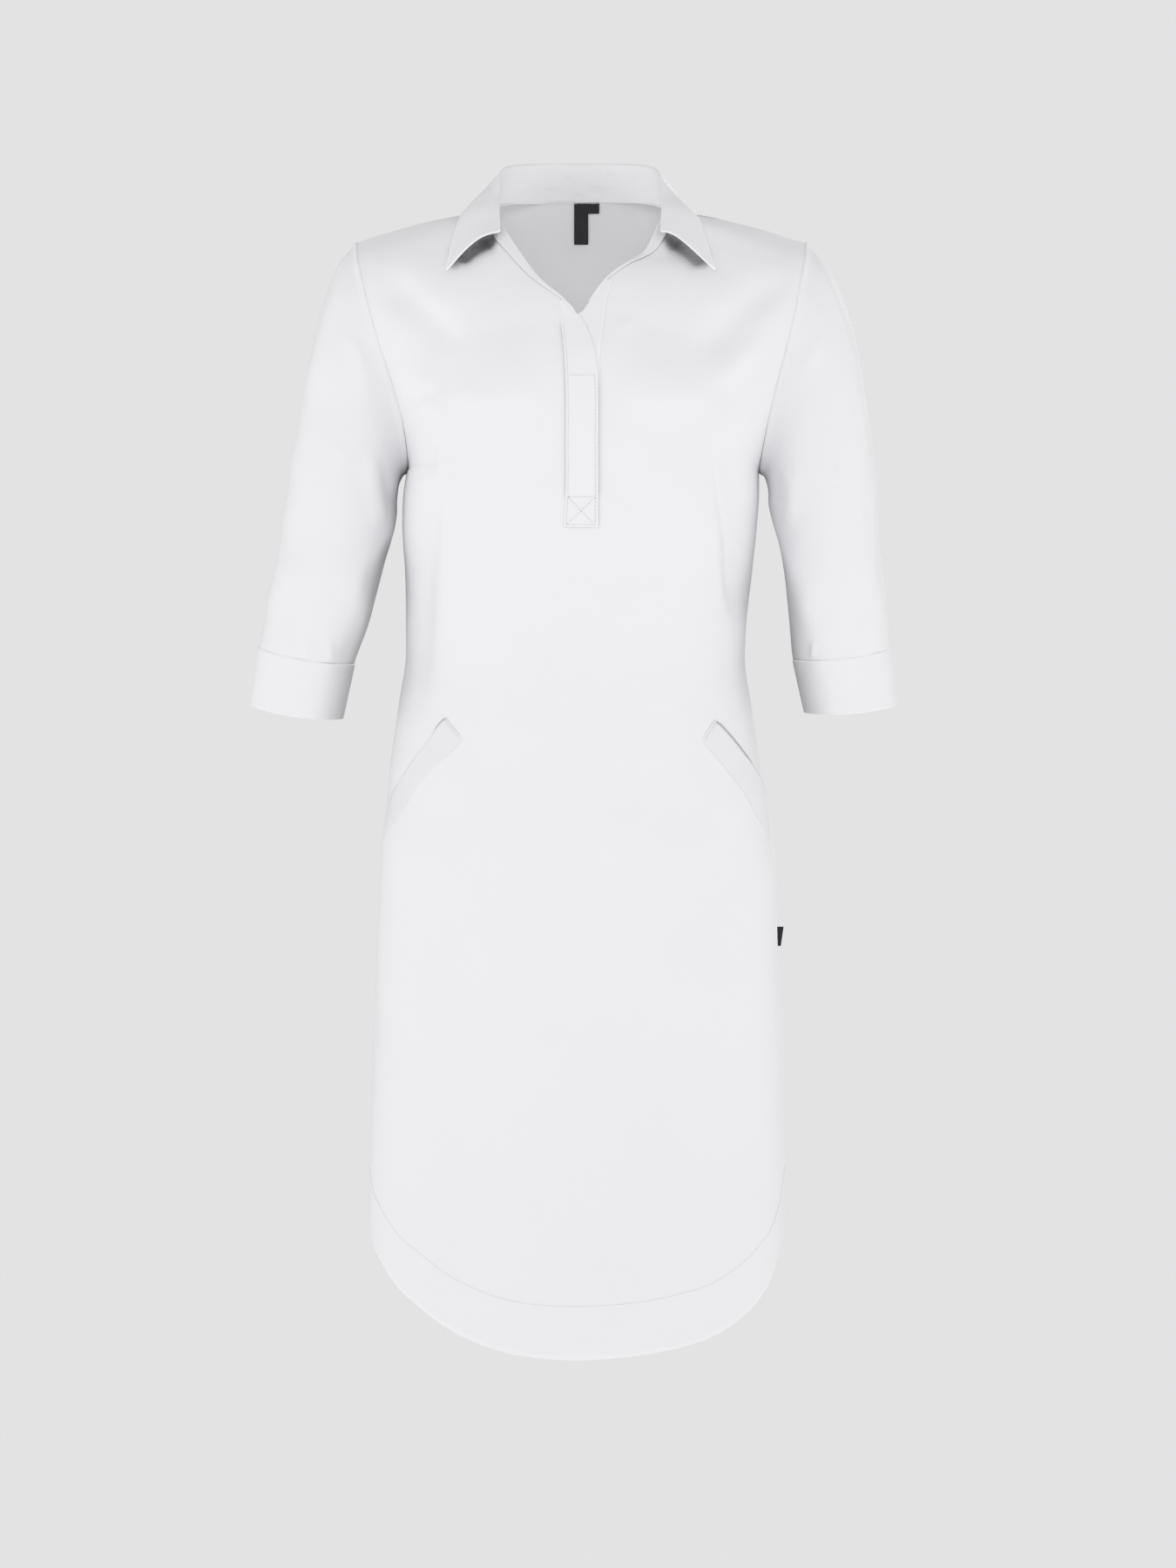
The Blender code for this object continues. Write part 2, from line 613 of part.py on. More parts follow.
def armhole_seam(panel, side, share):
    """At a point of the armhole seam: outward directions of panel and sleeve, and where each one's edge goes.

    Where the two meet like a roof they share one direction. In the underarm hollow each keeps its own.
    """
    e = 0.01
    edge = panel_base(panel, side, 1 + share, 1.0)
    along = panel_base(panel, side, 1 + min(share + e, 1), 1.0) - panel_base(panel, side, 1 + max(share - e, 0), 1.0)
    if share < e:
        along = np.array([0.0, -1.0 if panel == "front" else 1.0, 0.0])
    along = unit(along)
    drop = 0.25 + 0.40 * ease(share)
    sleeve_way = unit(np.array([side * drop, 0.0, -math.sqrt(1 - drop * drop)]))
    sleeve_way = unit(sleeve_way - along * float(sleeve_way @ along))
    panel_out = panel_normal(panel, side, 1 + share, 0.97)
    sleeve_out = unit(np.cross(along, sleeve_way))
    middle = np.array([side * 172.0, 0.0, -130.0])
    if float(sleeve_out @ (edge - middle)) < 0:
        sleeve_out = -sleeve_out
    roof = min(max((float(panel_out @ sleeve_out) + 0.2) / 0.6, 0.0), 1.0)
    panel_way = unit(edge - panel_base(panel, side, 1 + share, 0.97))
    apart = unit(sleeve_way + 2 * (1 - roof) * panel_out)
    return unit(panel_out + roof * sleeve_out), panel_way, unit(sleeve_out + roof * panel_out), apart


def ring_share(k, sides):
    """How far up the armhole a point of the ring is, and the panel it is on."""
    half = sides // 2
    share = 1 - k / half if k <= half else (k - half) / half
    share = 0.5 - 0.175 * math.cos(math.pi * share) + (share - 0.5) * 0.65
    return min(max(share, 0.0), 1.0), "front" if k <= half else "back"


def armhole_ring(side):
    """Points of the armhole seam from the shoulder tip down the front, round the underarm and up the back."""
    ring, normals = [], []
    for k in range(SLEEVE_SIDES):
        share, panel = ring_share(k, SLEEVE_SIDES)
        _, _, normal, apart = armhole_seam(panel, side, share)
        if share > 0.999:
            normal = unit((normal + shoulder_normal(side, 1.0)) * np.array([1, 0, 1]))
        ring.append(panel_base(panel, side, 1 + share, 1.0) + apart * (SEAM / 2 + 0.2))
        normals.append(normal)
    return np.array(ring), normals


def ring_frame(row):
    outer = np.array([row[0], row[5], row[1]])
    inner = np.array([row[2], row[5], row[3]])
    return outer, inner


def sleeve_ring(row, sides):
    """An oval ring: from the outer point round the front to the inner point and back."""
    outer, inner = ring_frame(row)
    middle, half = (outer + inner) / 2, (outer - inner) / 2
    ring = []
    for k in range(sides):
        angle = 2 * math.pi * k / sides
        c, s = math.cos(angle), math.sin(angle)
        point = middle + half * c
        point = point + np.array([0, -0.5 * row[4] * s, 0])
        point = point + np.array([0, 0, -row[6] * max(s, 0) ** 1.5 + row[6] * max(-s, 0) ** 1.5])
        ring.append(point)
    return np.array(ring)


def sleeve_grid(side, rings):
    table = SLEEVE_RIGHT if side < 0 else SLEEVE_LEFT
    start, normals = armhole_ring(side)
    first = sleeve_ring(smooth(table, 0), SLEEVE_SIDES)
    grid = []
    for i in range(rings + 1):
        share = i / rings
        share = share * (0.72 + 0.28 * share)
        ring = sleeve_ring(smooth(table, share), SLEEVE_SIDES)
        weight = 1 - ease(share / 0.42)
        grid.append(ring + (start - first) * weight)
    return grid, dict(enumerate(normals))


def build_sleeve(side):
    name = "sleeve_right" if side < 0 else "sleeve_left"
    grid, normals = sleeve_grid(side, SLEEVE_RINGS)
    grid_solid(name, grid, CLOTH, "white_twill", closed=True, flip=side > 0, seam_normals=normals)
    return grid


def build_cuff(side, sleeve_end):
    name = "cuff_right" if side < 0 else "cuff_left"
    end_row = CUFF_RIGHT_END if side < 0 else CUFF_LEFT_END
    end = sleeve_ring(end_row, SLEEVE_SIDES)
    grid = []
    middle0, middle1 = sleeve_end.mean(axis=0), end.mean(axis=0)
    for share in (SEAM / 50, 0.35, 0.7, 1.0):
        ring = sleeve_end * (1 - share) + end * share
        middle = middle0 * (1 - share) + middle1 * share
        ring = np.array([p + CUFF_PROUD * unit(p - middle) for p in ring])
        grid.append(ring)
    grid_solid(name, grid, DOUBLE, "white_twill", closed=True, flip=side > 0)


def collar_section(row, side):
    """One section of the collar: up the stand, over the fold and down the leaf."""
    seam, fold, edge = row[0:3].copy(), row[3:6].copy(), row[6:9].copy()
    bulge = row[9]
    for p in (seam, fold, edge):
        p[0] *= side
    up = unit(unit(fold - seam) - unit(edge - fold))
    across = edge - fold
    across = unit(across - up * float(across @ up))
    centre = fold - up * FOLD_RADIUS
    start, end = centre - across * FOLD_RADIUS, centre + across * FOLD_RADIUS
    lift = unit(np.cross(edge - end, np.cross(up, edge - end)))
    points = [seam + (start - seam) * k for k in (0.0, 0.5)]
    for k in range(7):
        angle = math.pi * k / 6
        points.append(centre + FOLD_RADIUS * (-across * math.cos(angle) + up * math.sin(angle)))
    for k in (0.2, 0.4, 0.6, 0.8, 1.0):
        points.append(end + (edge - end) * k + lift * bulge * math.sin(math.pi * k) ** 1.0)
    return points


def upper_surface():
    """Points and outward directions spread over the upper part of both panels."""
    points, normals = [], []
    for panel in ("front", "back"):
        for side in (-1, 1):
            for i in range(41):
                for j in range(25):
                    v, t = 1.3 + 0.7 * i / 40, 0.9 * j / 24
                    points.append(panel_point(panel, side, v, t))
                    normals.append(panel_normal(panel, side, v, t))
    return np.array(points), np.array(normals)


def keep_clear(point, surface, need):
    """The point, moved off the panels where it is nearer to their outer face than it has to be."""
    points, normals = surface
    nearest = int(np.argmin(((points - point) ** 2).sum(axis=1)))
    height = float((point - points[nearest]) @ normals[nearest])
    if height >= need or np.linalg.norm(point - points[nearest]) > 12:
        return point
    return point + normals[nearest] * (need - height)


def build_collar():
    grid = []
    surface = upper_surface()
    for side, table in ((-1, COLLAR_RIGHT), (1, COLLAR_LEFT)):
        shares = [i / COLLAR_STATIONS for i in range(COLLAR_STATIONS + 1)]
        rows = [collar_section(smooth(table, share), side) for share in shares]
        for row in rows:
            row[2:] = [keep_clear(point, surface, DOUBLE + 0.9) for point in row[2:]]
        grid = rows[::-1] if side < 0 else grid + rows[1:]
    grid_solid("collar", grid, DOUBLE, "white_twill", flip=True)


def build_placket():
    rows = []
    for i in range(17):
        z = PLACKET_TOP[0][0] + (PLACKET_TOP[-1][0] - PLACKET_TOP[0][0]) * i / 16
        sewn, free = smooth(PLACKET_TOP, z)
        row = []
        for share, over in ((0, 0), (0.22, 1), (0.48, 1), (0.74, 1), (1, 1)):
            x = sewn + (free - sewn) * share
            row.append(lay("front", x, z, CLOTH + LIFT + (1.0 + LIFT) * over))
        rows.append(row)
    grid_solid("placket_top", rows, CLOTH, "white_twill", flip=True)
    rows = []
    for i in range(15):
        z = PLACKET_UNDER[0][0] + (PLACKET_UNDER[-1][0] - PLACKET_UNDER[0][0]) * i / 14
        sewn, free = smooth(PLACKET_UNDER, z)
        rows.append([lay("front", sewn + (free - sewn) * k / 3, z, 1.0 + LIFT) for k in range(4)])
    grid_solid("placket_under", rows, 1.0, "white_twill", flip=False)


def build_facing(side):
    """The facing turned out along one side of the neck opening."""
    table = FACING_RIGHT if side < 0 else FACING_LEFT
    first, last = table[0][0], table[-1][0]
    rows = []
    for i in range(9):
        share = first + (last - first) * i / 8
        width = float(smooth(table, share)[0])
        start = panel_point("front", side, 1 + share, 0)
        reach = float(np.linalg.norm(panel_point("front", side, 1 + share, 0.1) - start)) / 0.1
        row = []
        for k in range(4):
            t = width * k / 3 / reach
            point = panel_point("front", side, 1 + share, t)
            normal = panel_normal("front", side, 1 + share, t)
            row.append(point + normal * (1.0 + 2 * LIFT))
        rows.append(row)
    name = "facing_right" if side < 0 else "facing_left"
    grid_solid(name, rows, 1.0, "white_twill", flip=side < 0)


def build_welt(side):
    table = WELT_RIGHT if side < 0 else WELT_LEFT
    name = "pocket_welt_right" if side < 0 else "pocket_welt_left"
    rows = []
    for i in range(11):
        place = i / 10 * (len(table) - 1)
        row = smooth([(k, *values) for k, values in enumerate(table)], place)
        upper, lower = row[:2], row[2:]
        rows.append([
            lay("front", *(upper + (lower - upper) * k / 3), CLOTH + LIFT) for k in range(4)
        ])
    grid_solid(name, rows, CLOTH, "white_twill", flip=side > 0)


def build_label(name, size):
    width, drop, x0, z0 = size
    rows = []
    for i in range(6):
        z = z0 - drop * i / 5
        rows.append([
            lay("back", x0 + width * k / 2, z, -CLOTH - 2 * LIFT) for k in range(3)
        ])
    grid_solid(name, rows, RIBBON, "black_ribbon", flip=False)


def build_side_tab():
    rows = []
    for i in range(4):
        z = SIDE_TAB_Z[0] + (SIDE_TAB_Z[1] - SIDE_TAB_Z[0]) * i / 3
        out = SIDE_TAB_OUT[0] + (SIDE_TAB_OUT[1] - SIDE_TAB_OUT[0]) * i / 3
        left = float(smooth(BODY_LEVELS, z)[1])
        rows.append([np.array([left + SEAM + out * k / 2, -0.6, z]) for k in range(3)])
    grid_solid("side_tab", rows, 1.2, "black_ribbon", flip=True)


def main():
    for old in list(bpy.data.objects):
        bpy.data.objects.remove(old, do_unlink=True)
    build_panel("front")
    build_panel("back")
    for side in (-1, 1):
        grid = build_sleeve(side)
        build_cuff(side, grid[-1])
        build_facing(side)
        build_welt(side)
    build_collar()
    build_placket()
    build_label("neck_label", NECK_LABEL)
    build_label("size_tab", SIZE_TAB)
    build_side_tab()


main()
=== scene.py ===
"""The looks of a short nurse uniform dress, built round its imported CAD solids.

Each solid is replaced by a thin cloth shell on the same form, made from the same named sizes. Lengths are
millimetres, +Z up, and the front faces -Y; meshes are written in metres.
"""

import math

import bpy
import numpy as np
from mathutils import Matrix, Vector


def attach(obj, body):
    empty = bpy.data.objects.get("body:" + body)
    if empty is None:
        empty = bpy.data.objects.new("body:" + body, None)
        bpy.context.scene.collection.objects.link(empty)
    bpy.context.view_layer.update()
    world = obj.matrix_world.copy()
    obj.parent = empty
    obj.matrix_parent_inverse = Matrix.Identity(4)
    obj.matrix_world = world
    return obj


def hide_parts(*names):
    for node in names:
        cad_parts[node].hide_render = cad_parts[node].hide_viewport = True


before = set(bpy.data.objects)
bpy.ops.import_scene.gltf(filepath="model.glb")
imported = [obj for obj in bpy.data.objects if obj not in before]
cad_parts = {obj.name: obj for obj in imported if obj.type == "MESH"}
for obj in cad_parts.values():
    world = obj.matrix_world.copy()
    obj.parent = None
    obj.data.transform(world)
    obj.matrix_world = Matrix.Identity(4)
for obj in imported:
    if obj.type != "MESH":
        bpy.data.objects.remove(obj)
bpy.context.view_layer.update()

# ---- driving sizes, millimetres ----
CLOTH = 1.2  # one layer of twill, drawn thick enough to be a solid
DOUBLE = 1.5  # folded bands: cuffs, collar
SEAM = 0.4  # gap left between two pieces at a seam
LIFT = 0.4  # gap under a piece that lies on a panel

UNDERARM_Z = -231.0
SIDE_HEM_Z = -880.0
CENTRE_HEM_Z = -986.0
SLIT_END_Z = -268.0
SLIT = 0.9
# Where the neck edge starts in front and behind, as a share of the upper body from underarm to shoulder.
NECK_POINT, NECK_BACK = 0.5, 0.74


def rows(text):
    """The rows of a table of numbers; a row ends with its line or with a comma."""
    return [tuple(float(k) for k in row.split()) for row in text.replace(",", "\n").splitlines() if row.strip()]


def folds(text):
    """Folds, one to a line: the corners of the line, a colon, and five sizes."""
    lines = [line.split(":") for line in text.strip().splitlines()]
    return [(rows(corners), *rows(sizes)[0]) for corners, sizes in lines]


# Level of the body; half widths at the wearer's right (-X) and left (+X); depth of the centre front and
# the centre back; fullness of the arc towards the centre and towards the side (0.55 is an ellipse).
# z, right, left, front, back, centre_full, side_full
BODY_LEVELS = rows("""
    -990 184.5 180 117 119 0.6 0.62
    -900 184 179.6 117 119 0.6 0.62
    -807 182.2 178.6 117 120 0.6 0.61
    -731 179.5 177 118 122 0.6 0.6
    -640 176.3 172.7 118 124 0.6 0.59
    -579 173.3 171 117 121 0.6 0.58
    -549 170.9 168.5 116 118 0.6 0.57
    -518 167.3 165 114 114 0.6 0.57
    -488 164.8 158.6 111 108 0.6 0.56
    -457 160.7 153.8 108 102 0.6 0.56
    -427 156.4 148.8 106 97 0.6 0.57
    -397 151.6 144.4 105 93 0.6 0.59
    -366 151.2 145.4 106 91 0.61 0.62
    -321 151.8 150.4 110 93 0.62 0.67
    -275 154.2 155.2 116 98 0.63 0.72
    -250 153.2 156.8 118 101 0.63 0.75
    -231 150.4 156.6 119 103 0.63 0.78
""")

# How far the curved hem hangs below the side seam, as a share of the drop at the centre, by how far out
# across the panel it is: share_out, right, left
HEM_CURVE = rows("""
    0 1 1, 0.18 0.986 0.985, 0.34 0.944 0.953, 0.485 0.867 0.908, 0.632 0.75 0.838, 0.745 0.617 0.736,
    0.855 0.47 0.592, 0.932 0.29 0.415, 0.976 0.155 0.195, 1 0 0
""")

# The armhole edge, from underarm to shoulder tip.
# share, x_right, x_left, y_front, y_back, z, back_out
ARMHOLE = rows("""
    0 150.4 156.6 0 0 -231 0
    0.08 148.6 156.4 -14 15 -228 0
    0.18 149 158.2 -30 32 -215 1
    0.3 152 162.5 -45 48 -191 3
    0.42 160 169.5 -53 57 -160 5
    0.55 171.5 178.5 -54 59 -126 5
    0.68 180.5 186 -50 54 -95 4
    0.8 187.5 191.5 -39 42 -67 2
    0.91 192.3 195.8 -22 23 -46 0
    1 194 197.6 0 0 -31 0
""")

# Centre front from underarm level to the point of the neck opening: share, y, z.
FRONT_CENTRE = rows("0 -119 -231, 0.12 -121 -206, 0.25 -119.5 -172, 0.38 -111.5 -136, 0.5 -98 -104.5")
# Front neck edge, from the point of the opening to the high shoulder point: share, x, y, z.
NECK_EDGE_RIGHT = rows("""
    0.5 0.6 -98 -104.5, 0.57 11.6 -91.5 -90.2, 0.65 30.6 -81 -73.4, 0.78 52.9 -58 -42.4, 0.9 71.3 -28 -12,
    0.95 74.8 -14 -5.6, 1 76.5 0 -2.2
""")
NECK_EDGE_LEFT = rows("""
    0.5 0.6 -98 -104.5, 0.56 11.2 -91 -87, 0.62 22 -83 -71.8, 0.69 38.2 -71 -57.6, 0.76 55 -56 -46,
    0.83 64.6 -42 -28, 0.91 73 -26 -8.6, 0.955 75.6 -13 -4.8, 1 76.5 0 -2.2
""")
# Handles of each front row from underarm to shoulder: out from the inner edge, in from the armhole.
# share, out_x, out_y, out_z, in_x, in_y, in_z
FRONT_HANDLES = rows("""
    0 96 0 0 0 -69 0
    0.12 90 -1 0 -2 -56 0
    0.25 86 -2 1 -14 -49 2
    0.38 80 -1 1 -32 -40 5
    0.5 72 0 2 -44 -31 7
    0.62 54 4 3 -46 -24 8
    0.75 40 8 3 -44 -16 8
    0.88 36 4 -2 -42 -8 8
    1 40 0 -6 -40 0 13
""")

# Centre back from underarm level to the back neck, then the neck edge to the high shoulder point.
BACK_CENTRE = rows("0 103 -231, 0.2 107 -180, 0.38 107 -130, 0.54 99 -78, 0.66 84 -29, 0.74 66 12.6")
BACK_NECK = rows("0.74 0 66 12.6, 0.81 32 59 11.6, 0.89 59 37.5 8, 0.95 72 17 2.6, 1 76.5 0 -2.2")
BACK_HANDLES = rows("""
    0 98 0 0 0 60 0
    0.12 98 0 0 -1 48 0
    0.25 94 0 0 -12 44 2
    0.38 88 0 0 -30 38 4
    0.5 80 0 0 -44 30 6
    0.62 66 -1 0 -48 22 8
    0.74 52 -1 -4 -46 14 9
    0.87 40 -1 -7 -42 7 10
    1 40 0 -6 -40 0 13
""")

HEM_REACH = 0.75  # share of the lower body's height over which the levels follow the curve of the hem

TWILL, UNDER_WALL, RIBBON_WALL, TAB_WALL = 0.9, 0.8, 0.6, 1.0  # thicknesses of the shells
SLEEVE_ROWS, SLEEVE_COLUMNS, COLLAR_ROWS = 120, 144, 130  # of the grids of points

# Soft folds of each face, seen square on: corners x z of the line, half width at its start and end, height
# (a trough is negative), skew (how much wider it is on one side), share of its length over which it fades.
FOLDS = {
    # The last two are the hollows under the free front edges of the collar leaves.
    "front": folds("""
    -174 -56, -143 -88, -118 -112, -98 -138: 17 21 -7 0.1 0.35
    -150 -128, -128 -168, -112 -216: 16 20 3.2 0 0.4
    184 -56, 148 -90, 113 -124, 94 -146: 17 20 -7.5 0.1 0.35
    160 -112, 134 -142, 110 -172: 14 15 5 0 0.4
    -120 -212, -132 -320, -138 -400, -142 -455: 11 14 -5.5 0 0.3
    -104 -230, -112 -320, -116 -400: 11 14 2 0 0.4
    117 -200, 124 -255, 131 -300, 137 -372: 11 13 -8 -0.25 0.28
    99 -225, 108 -280, 114 -330: 12 14 3 0 0.4
    -120 -163, -86 -173, -26 -171: 30 32 4.6 -0.45 0.32
    120 -163, 86 -174, 28 -172: 30 32 4.6 0.45 0.32
    30 -118, 52 -104: 8 7 1.3 0 0.45
    -131 -160, -124 -176: 7 7 -2 0 0.45
    -90 -385, -101 -452: 10 12 -1.6 0 0.4
    96 -395, 108 -455: 10 12 -1 0 0.4
    -127 -205, -125 -242: 6 7 -3.2 0.2 0.45
    -145 -150, -143 -190: 7 8 -1.2 0 0.45
    -70 -27, -82 -28, -95 -36, -110 -50: 12.5 9 -10.6 -0.3 0.2
    74 -28, 85 -30, 99 -40, 112 -52: 12.5 9 -9.8 0.35 0.2
"""),
    "back": folds("""
    -46 -280, -52 -380, -50 -500: 20 24 -6.5 0.15 0.4
    50 -270, 48 -390, 44 -530: 20 24 -6.5 -0.15 0.4
    -20 -330, -8 -372, 6 -396: 12 12 -2.4 0 0.45
    96 -352, 70 -382, 40 -398: 11 12 -2.2 0 0.45
    -110 -330, -84 -366, -52 -384: 11 12 -2.4 0 0.45
    -140 -120, -120 -175, -92 -235: 16 20 -7 0.1 0.35
    -154 -170, -134 -214, -118 -262: 13 15 3.2 0 0.4
    142 -130, 122 -185, 96 -240: 16 20 -7 0.1 0.35
    154 -176, 136 -218, 120 -266: 13 15 3.2 0 0.4
    -70 -60, -50 -110, -44 -170: 22 26 -3 0 0.4
    68 -58, 50 -112, 46 -176: 22 26 -3 0 0.4
    -100 -560, -104 -700, -108 -850: 34 38 -4 0 0.4
    92 -600, 98 -750, 104 -900: 34 38 -4 0 0.4
"""),
    # The next two faces have no folds: their lines say where the painted shade of crevices reaches further, or less
    # far where
    #     the height is negative: less along the back neck under the stand, more as painted shadow under the collar
    #         leaves' front edges.
    "back_painted_shade": folds("""
    -78 2, -52 8, 0 11, 52 8, 78 2: 9 9 -1.3 0 0.04
"""),
    "front_painted_shade": folds("""
    -66 -32, -76 -33, -88 -38, -103 -48, -114 -57: 14 10 0.5 -0.3 0.08
    69 -33, 80 -34, 92 -40, 104 -48, 114 -56: 14 10 0.5 0.3 0.08
"""),
    # Short soft wrinkles inside the stand.
    "stand": folds("""
    20 34.4, 28 33.8, 38 31.6: 2.4 1.8 -1.9 0 0.45
    -15 33.4, -4 32.6: 1.9 1.5 -1.5 0 0.45
    -34 19.2, -24 22.4, -14 23.6: 2.6 2 -1.9 0 0.45
    5 25.4, 18 22.6, 34 20.4: 2.6 2 -2.2 0 0.4
    -6 20.6, 10 19: 2.2 1.8 1.3 0 0.45
    -52 32, -46 22: 5 4 -1.2 0 0.45
    50 34, 46 20: 5 4 -1 0 0.45
"""),
    # A soft arc over the front of the upper arm, and small creases at the elbow.
    "sleeve_right_front": folds("""
    -206 -108, -190 -128, -184 -150, -183 -186: 8 9 -2.4 0.1 0.35
    -181 -205, -178 -245, -171 -292: 7 8 -4.5 0 0.35
    -169 -218, -165 -250, -162 -280: 5 5 1.8 0 0.4
    -200 -300, -190 -350, -196 -392: 13 14 -2.6 0 0.4
    -243 -300, -250 -360: 16 16 -1.6 0 0.45
    -233 -376, -231 -398: 2.6 3.2 -1.6 0 0.4
    -216 -374, -213 -399: 3 3.4 -1.6 0 0.4
    -214 -206, -196 -226: 6 6 -0.9 0 0.45
"""),
    "sleeve_left_front": folds("""
    212 -112, 198 -136, 193 -160: 8 9 -1.8 0.1 0.4
    213 -229, 228 -240: 4 4 -1.3 0 0.45
    215 -246, 231 -250: 4 4 -1 0 0.45
    186 -222, 185 -255, 182 -290: 7 8 -4 0 0.35
    172 -228, 171 -262: 5 5 1.6 0 0.4
    206 -300, 198 -350, 204 -392: 13 14 -2.4 0 0.4
    244 -296, 252 -352: 16 16 -1.5 0 0.45
    203 -376, 201 -398: 3 3.2 -1.6 0 0.4
"""),
    "sleeve_right_back": folds("""
    -216 -120, -204 -160, -198 -205: 10 12 -2.4 0 0.4
    -240 -226, -214 -250: 7 7 -1.6 0 0.45
"""),
    "sleeve_left_back": folds("""
    222 -118, 208 -158, 202 -205: 10 12 -2.2 0 0.4
    246 -232, 220 -252: 7 7 -1.5 0 0.45
"""),
}

# Sleeve rings from the armhole to the cuff seam: outer and inner point of the ring seen from the front,
# front-to-back size, middle of the ring in y, how far its front hangs below its sides.
# share; outer_x, outer_z, inner_x, inner_z of the right sleeve and of the left; size_y, middle_y, dip
SLEEVES = rows("""
    0 -194 -31 -149.5 -231.5 197.6 -31 155.8 -231.5 112 1 0
    0.06 -206.3 -47.1 -153.8 -236 211.7 -47.1 160 -235.8 114 0.8 0
    0.13 -216 -70 -156.8 -241.5 224.7 -70 162.4 -241.7 116 0.4 0
    0.2 -224.2 -94.2 -158.6 -248.5 233.7 -94.2 164 -250 118 0 0
    0.27 -230.7 -117 -160 -257 240.2 -117 164.9 -259.9 118 -0.5 0
    0.34 -236.4 -144.4 -160.2 -267 245.2 -144.4 167.8 -271.3 117 -1 0
    0.41 -241.7 -173.3 -162.2 -279.5 249.3 -173.3 171.2 -282.7 116 -2 0.5
    0.49 -247.6 -206.7 -165.3 -291.5 253.3 -206.7 174.8 -294.9 115 -3 1
    0.6 -254.6 -252.3 -170.4 -309.5 257.6 -252.3 179 -316.9 112 -4.5 2
    0.7 -260.7 -290.3 -175.3 -329.8 260.3 -290.3 181.5 -339.7 109 -6 3
    0.8 -267.5 -326.8 -181 -349.6 263.3 -326.8 183.9 -360.2 105 -8 4
    0.9 -273.6 -360.2 -188 -372 265.8 -360.2 185.6 -380 101 -10 4.5
    1 -277.6 -384 -196.6 -398.2 267.9 -385.3 187 -395 97 -12 4.5
""")
# Lower edge of each cuff: its own outer_x to inner_z, then size_y, middle_y, dip.
CUFF_RIGHT_END = (-284.2, -433.2, -206.7, -445.4, 95, -13.0, 4.0)
CUFF_LEFT_END = (274.4, -433.2, 196.8, -440.0, 95, -13.0, 4.0)
CUFF_PROUD = 0.4

# Collar stations from the centre back to the front end: seam, fold and outer edge, then how far the
# leaf bulges off the straight line between fold and outer edge.
# share, seam x y z, fold x y z, edge x y z, bulge
COLLAR_RIGHT = rows("""
    0 0 65 13.3 0 66.5 46.5 0 84.5 -14 2
    0.16 31 58.5 12.3 32 58 45.5 41 79.5 -13 2
    0.32 58 38 9 56 37.5 41.5 78 60.5 -7.5 2
    0.46 71 18 3.8 67.4 18 34.5 94 31.5 -0.8 2
    0.57 75.2 0.5 -0.4 69.8 1 21 98.5 5 -1.6 2
    0.7 74.6 -13 -2.8 69.8 -14 6.5 103 -16.5 -8.5 3
    0.85 72.2 -28.5 -9.4 68.8 -31.5 -7.5 108 -40 -29 5
    1 69.5 -47 -25.5 67.6 -51.5 -25 114.5 -69.5 -61.5 9
""")
COLLAR_LEFT = rows("""
    0 0 65 13.3 0 66.5 46.5 0 84.5 -14 2
    0.16 31 58.5 12.3 32 58 45.5 41 79.5 -13 2
    0.32 58 38 9 56 37.5 41.5 77 60.5 -7.5 2
    0.46 71 18 3.8 67.8 18 34.5 92.5 31.5 -0.8 2
    0.57 75.4 0.5 -0.4 71.4 1 21 95.5 5 -1.2 2
    0.7 75.4 -13 -2.2 71.6 -14 7.5 100.5 -15 -6.5 3
    0.85 74.4 -27.5 -8.4 71 -31.5 -6.5 106.5 -36 -24.5 5
    1 72.6 -44.5 -24.5 69.8 -50 -24.5 117 -69 -61 9
""")
FOLD_RADIUS = 2.3

# Placket layers seen square on: z, then the x of the sewn edge and of the other edge.
PLACKET_TOP = rows("""
    -91 -16.6 -11.6, -104.5 -15.4 0.2, -113 -14.6 5, -131.3 -12.8 11.6, -150.3 -11.4 14.6, -170 -10.9 15.6,
    -215 -10.9 15.6, -256 -11.2 15.8, -283 -13 15.8
""")
PLACKET_UNDER = rows("""
    -72.5 28 21.6, -87 23.6 10.4, -104.5 20.8 -1, -131.3 18 -4, -150.3 15.9 -4, -170 15.4 -4, -215 15.4 -4,
    -262 15.4 -4
""")
# The facing turned out along the neck edge: share of the panel's height, width of the strip.
FACING_RIGHT = rows("0.57 1.6, 0.63 3.6, 0.7 7, 0.77 10, 0.83 12, 0.865 10.5")
FACING_LEFT = rows("0.62 1.6, 0.68 3, 0.74 5.5, 0.79 8.5, 0.84 9.5, 0.87 8")

# Pocket welts seen square on, from the end on the front to the side seam: upper x z, lower x z.
WELT_RIGHT = rows("""
    -113.6 -445 -98.6 -463, -123 -456 -112.2 -476.4, -137.6 -475.8 -127 -490, -151.6 -495.6 -140.6 -506.2,
    -159.2 -506.4 -151.4 -527, -163.6 -516.4 -166.8 -549
""")
WELT_LEFT = rows("""
    114.2 -447.6 104 -463.8, 127 -462.6 116.8 -478.8, 138 -476.4 131.8 -497, 146.6 -486.6 142.6 -511,
    153.4 -498 153.4 -529.2, 160 -513 165 -549
""")

# Labels: width, drop, x of the left edge, z of the top.
NECK_LABEL = (12.2, 34.5, -4.6, 11.2)
SIZE_TAB = (9.6, 8.2, 7.9, 11.2)
SIDE_TAB_Z = (-628.0, -644.0)
SIDE_TAB_OUT = (5.0, 2.2)


# ---- curves ----
def circle(sides):
    return 2 * math.pi * np.arange(sides) / sides


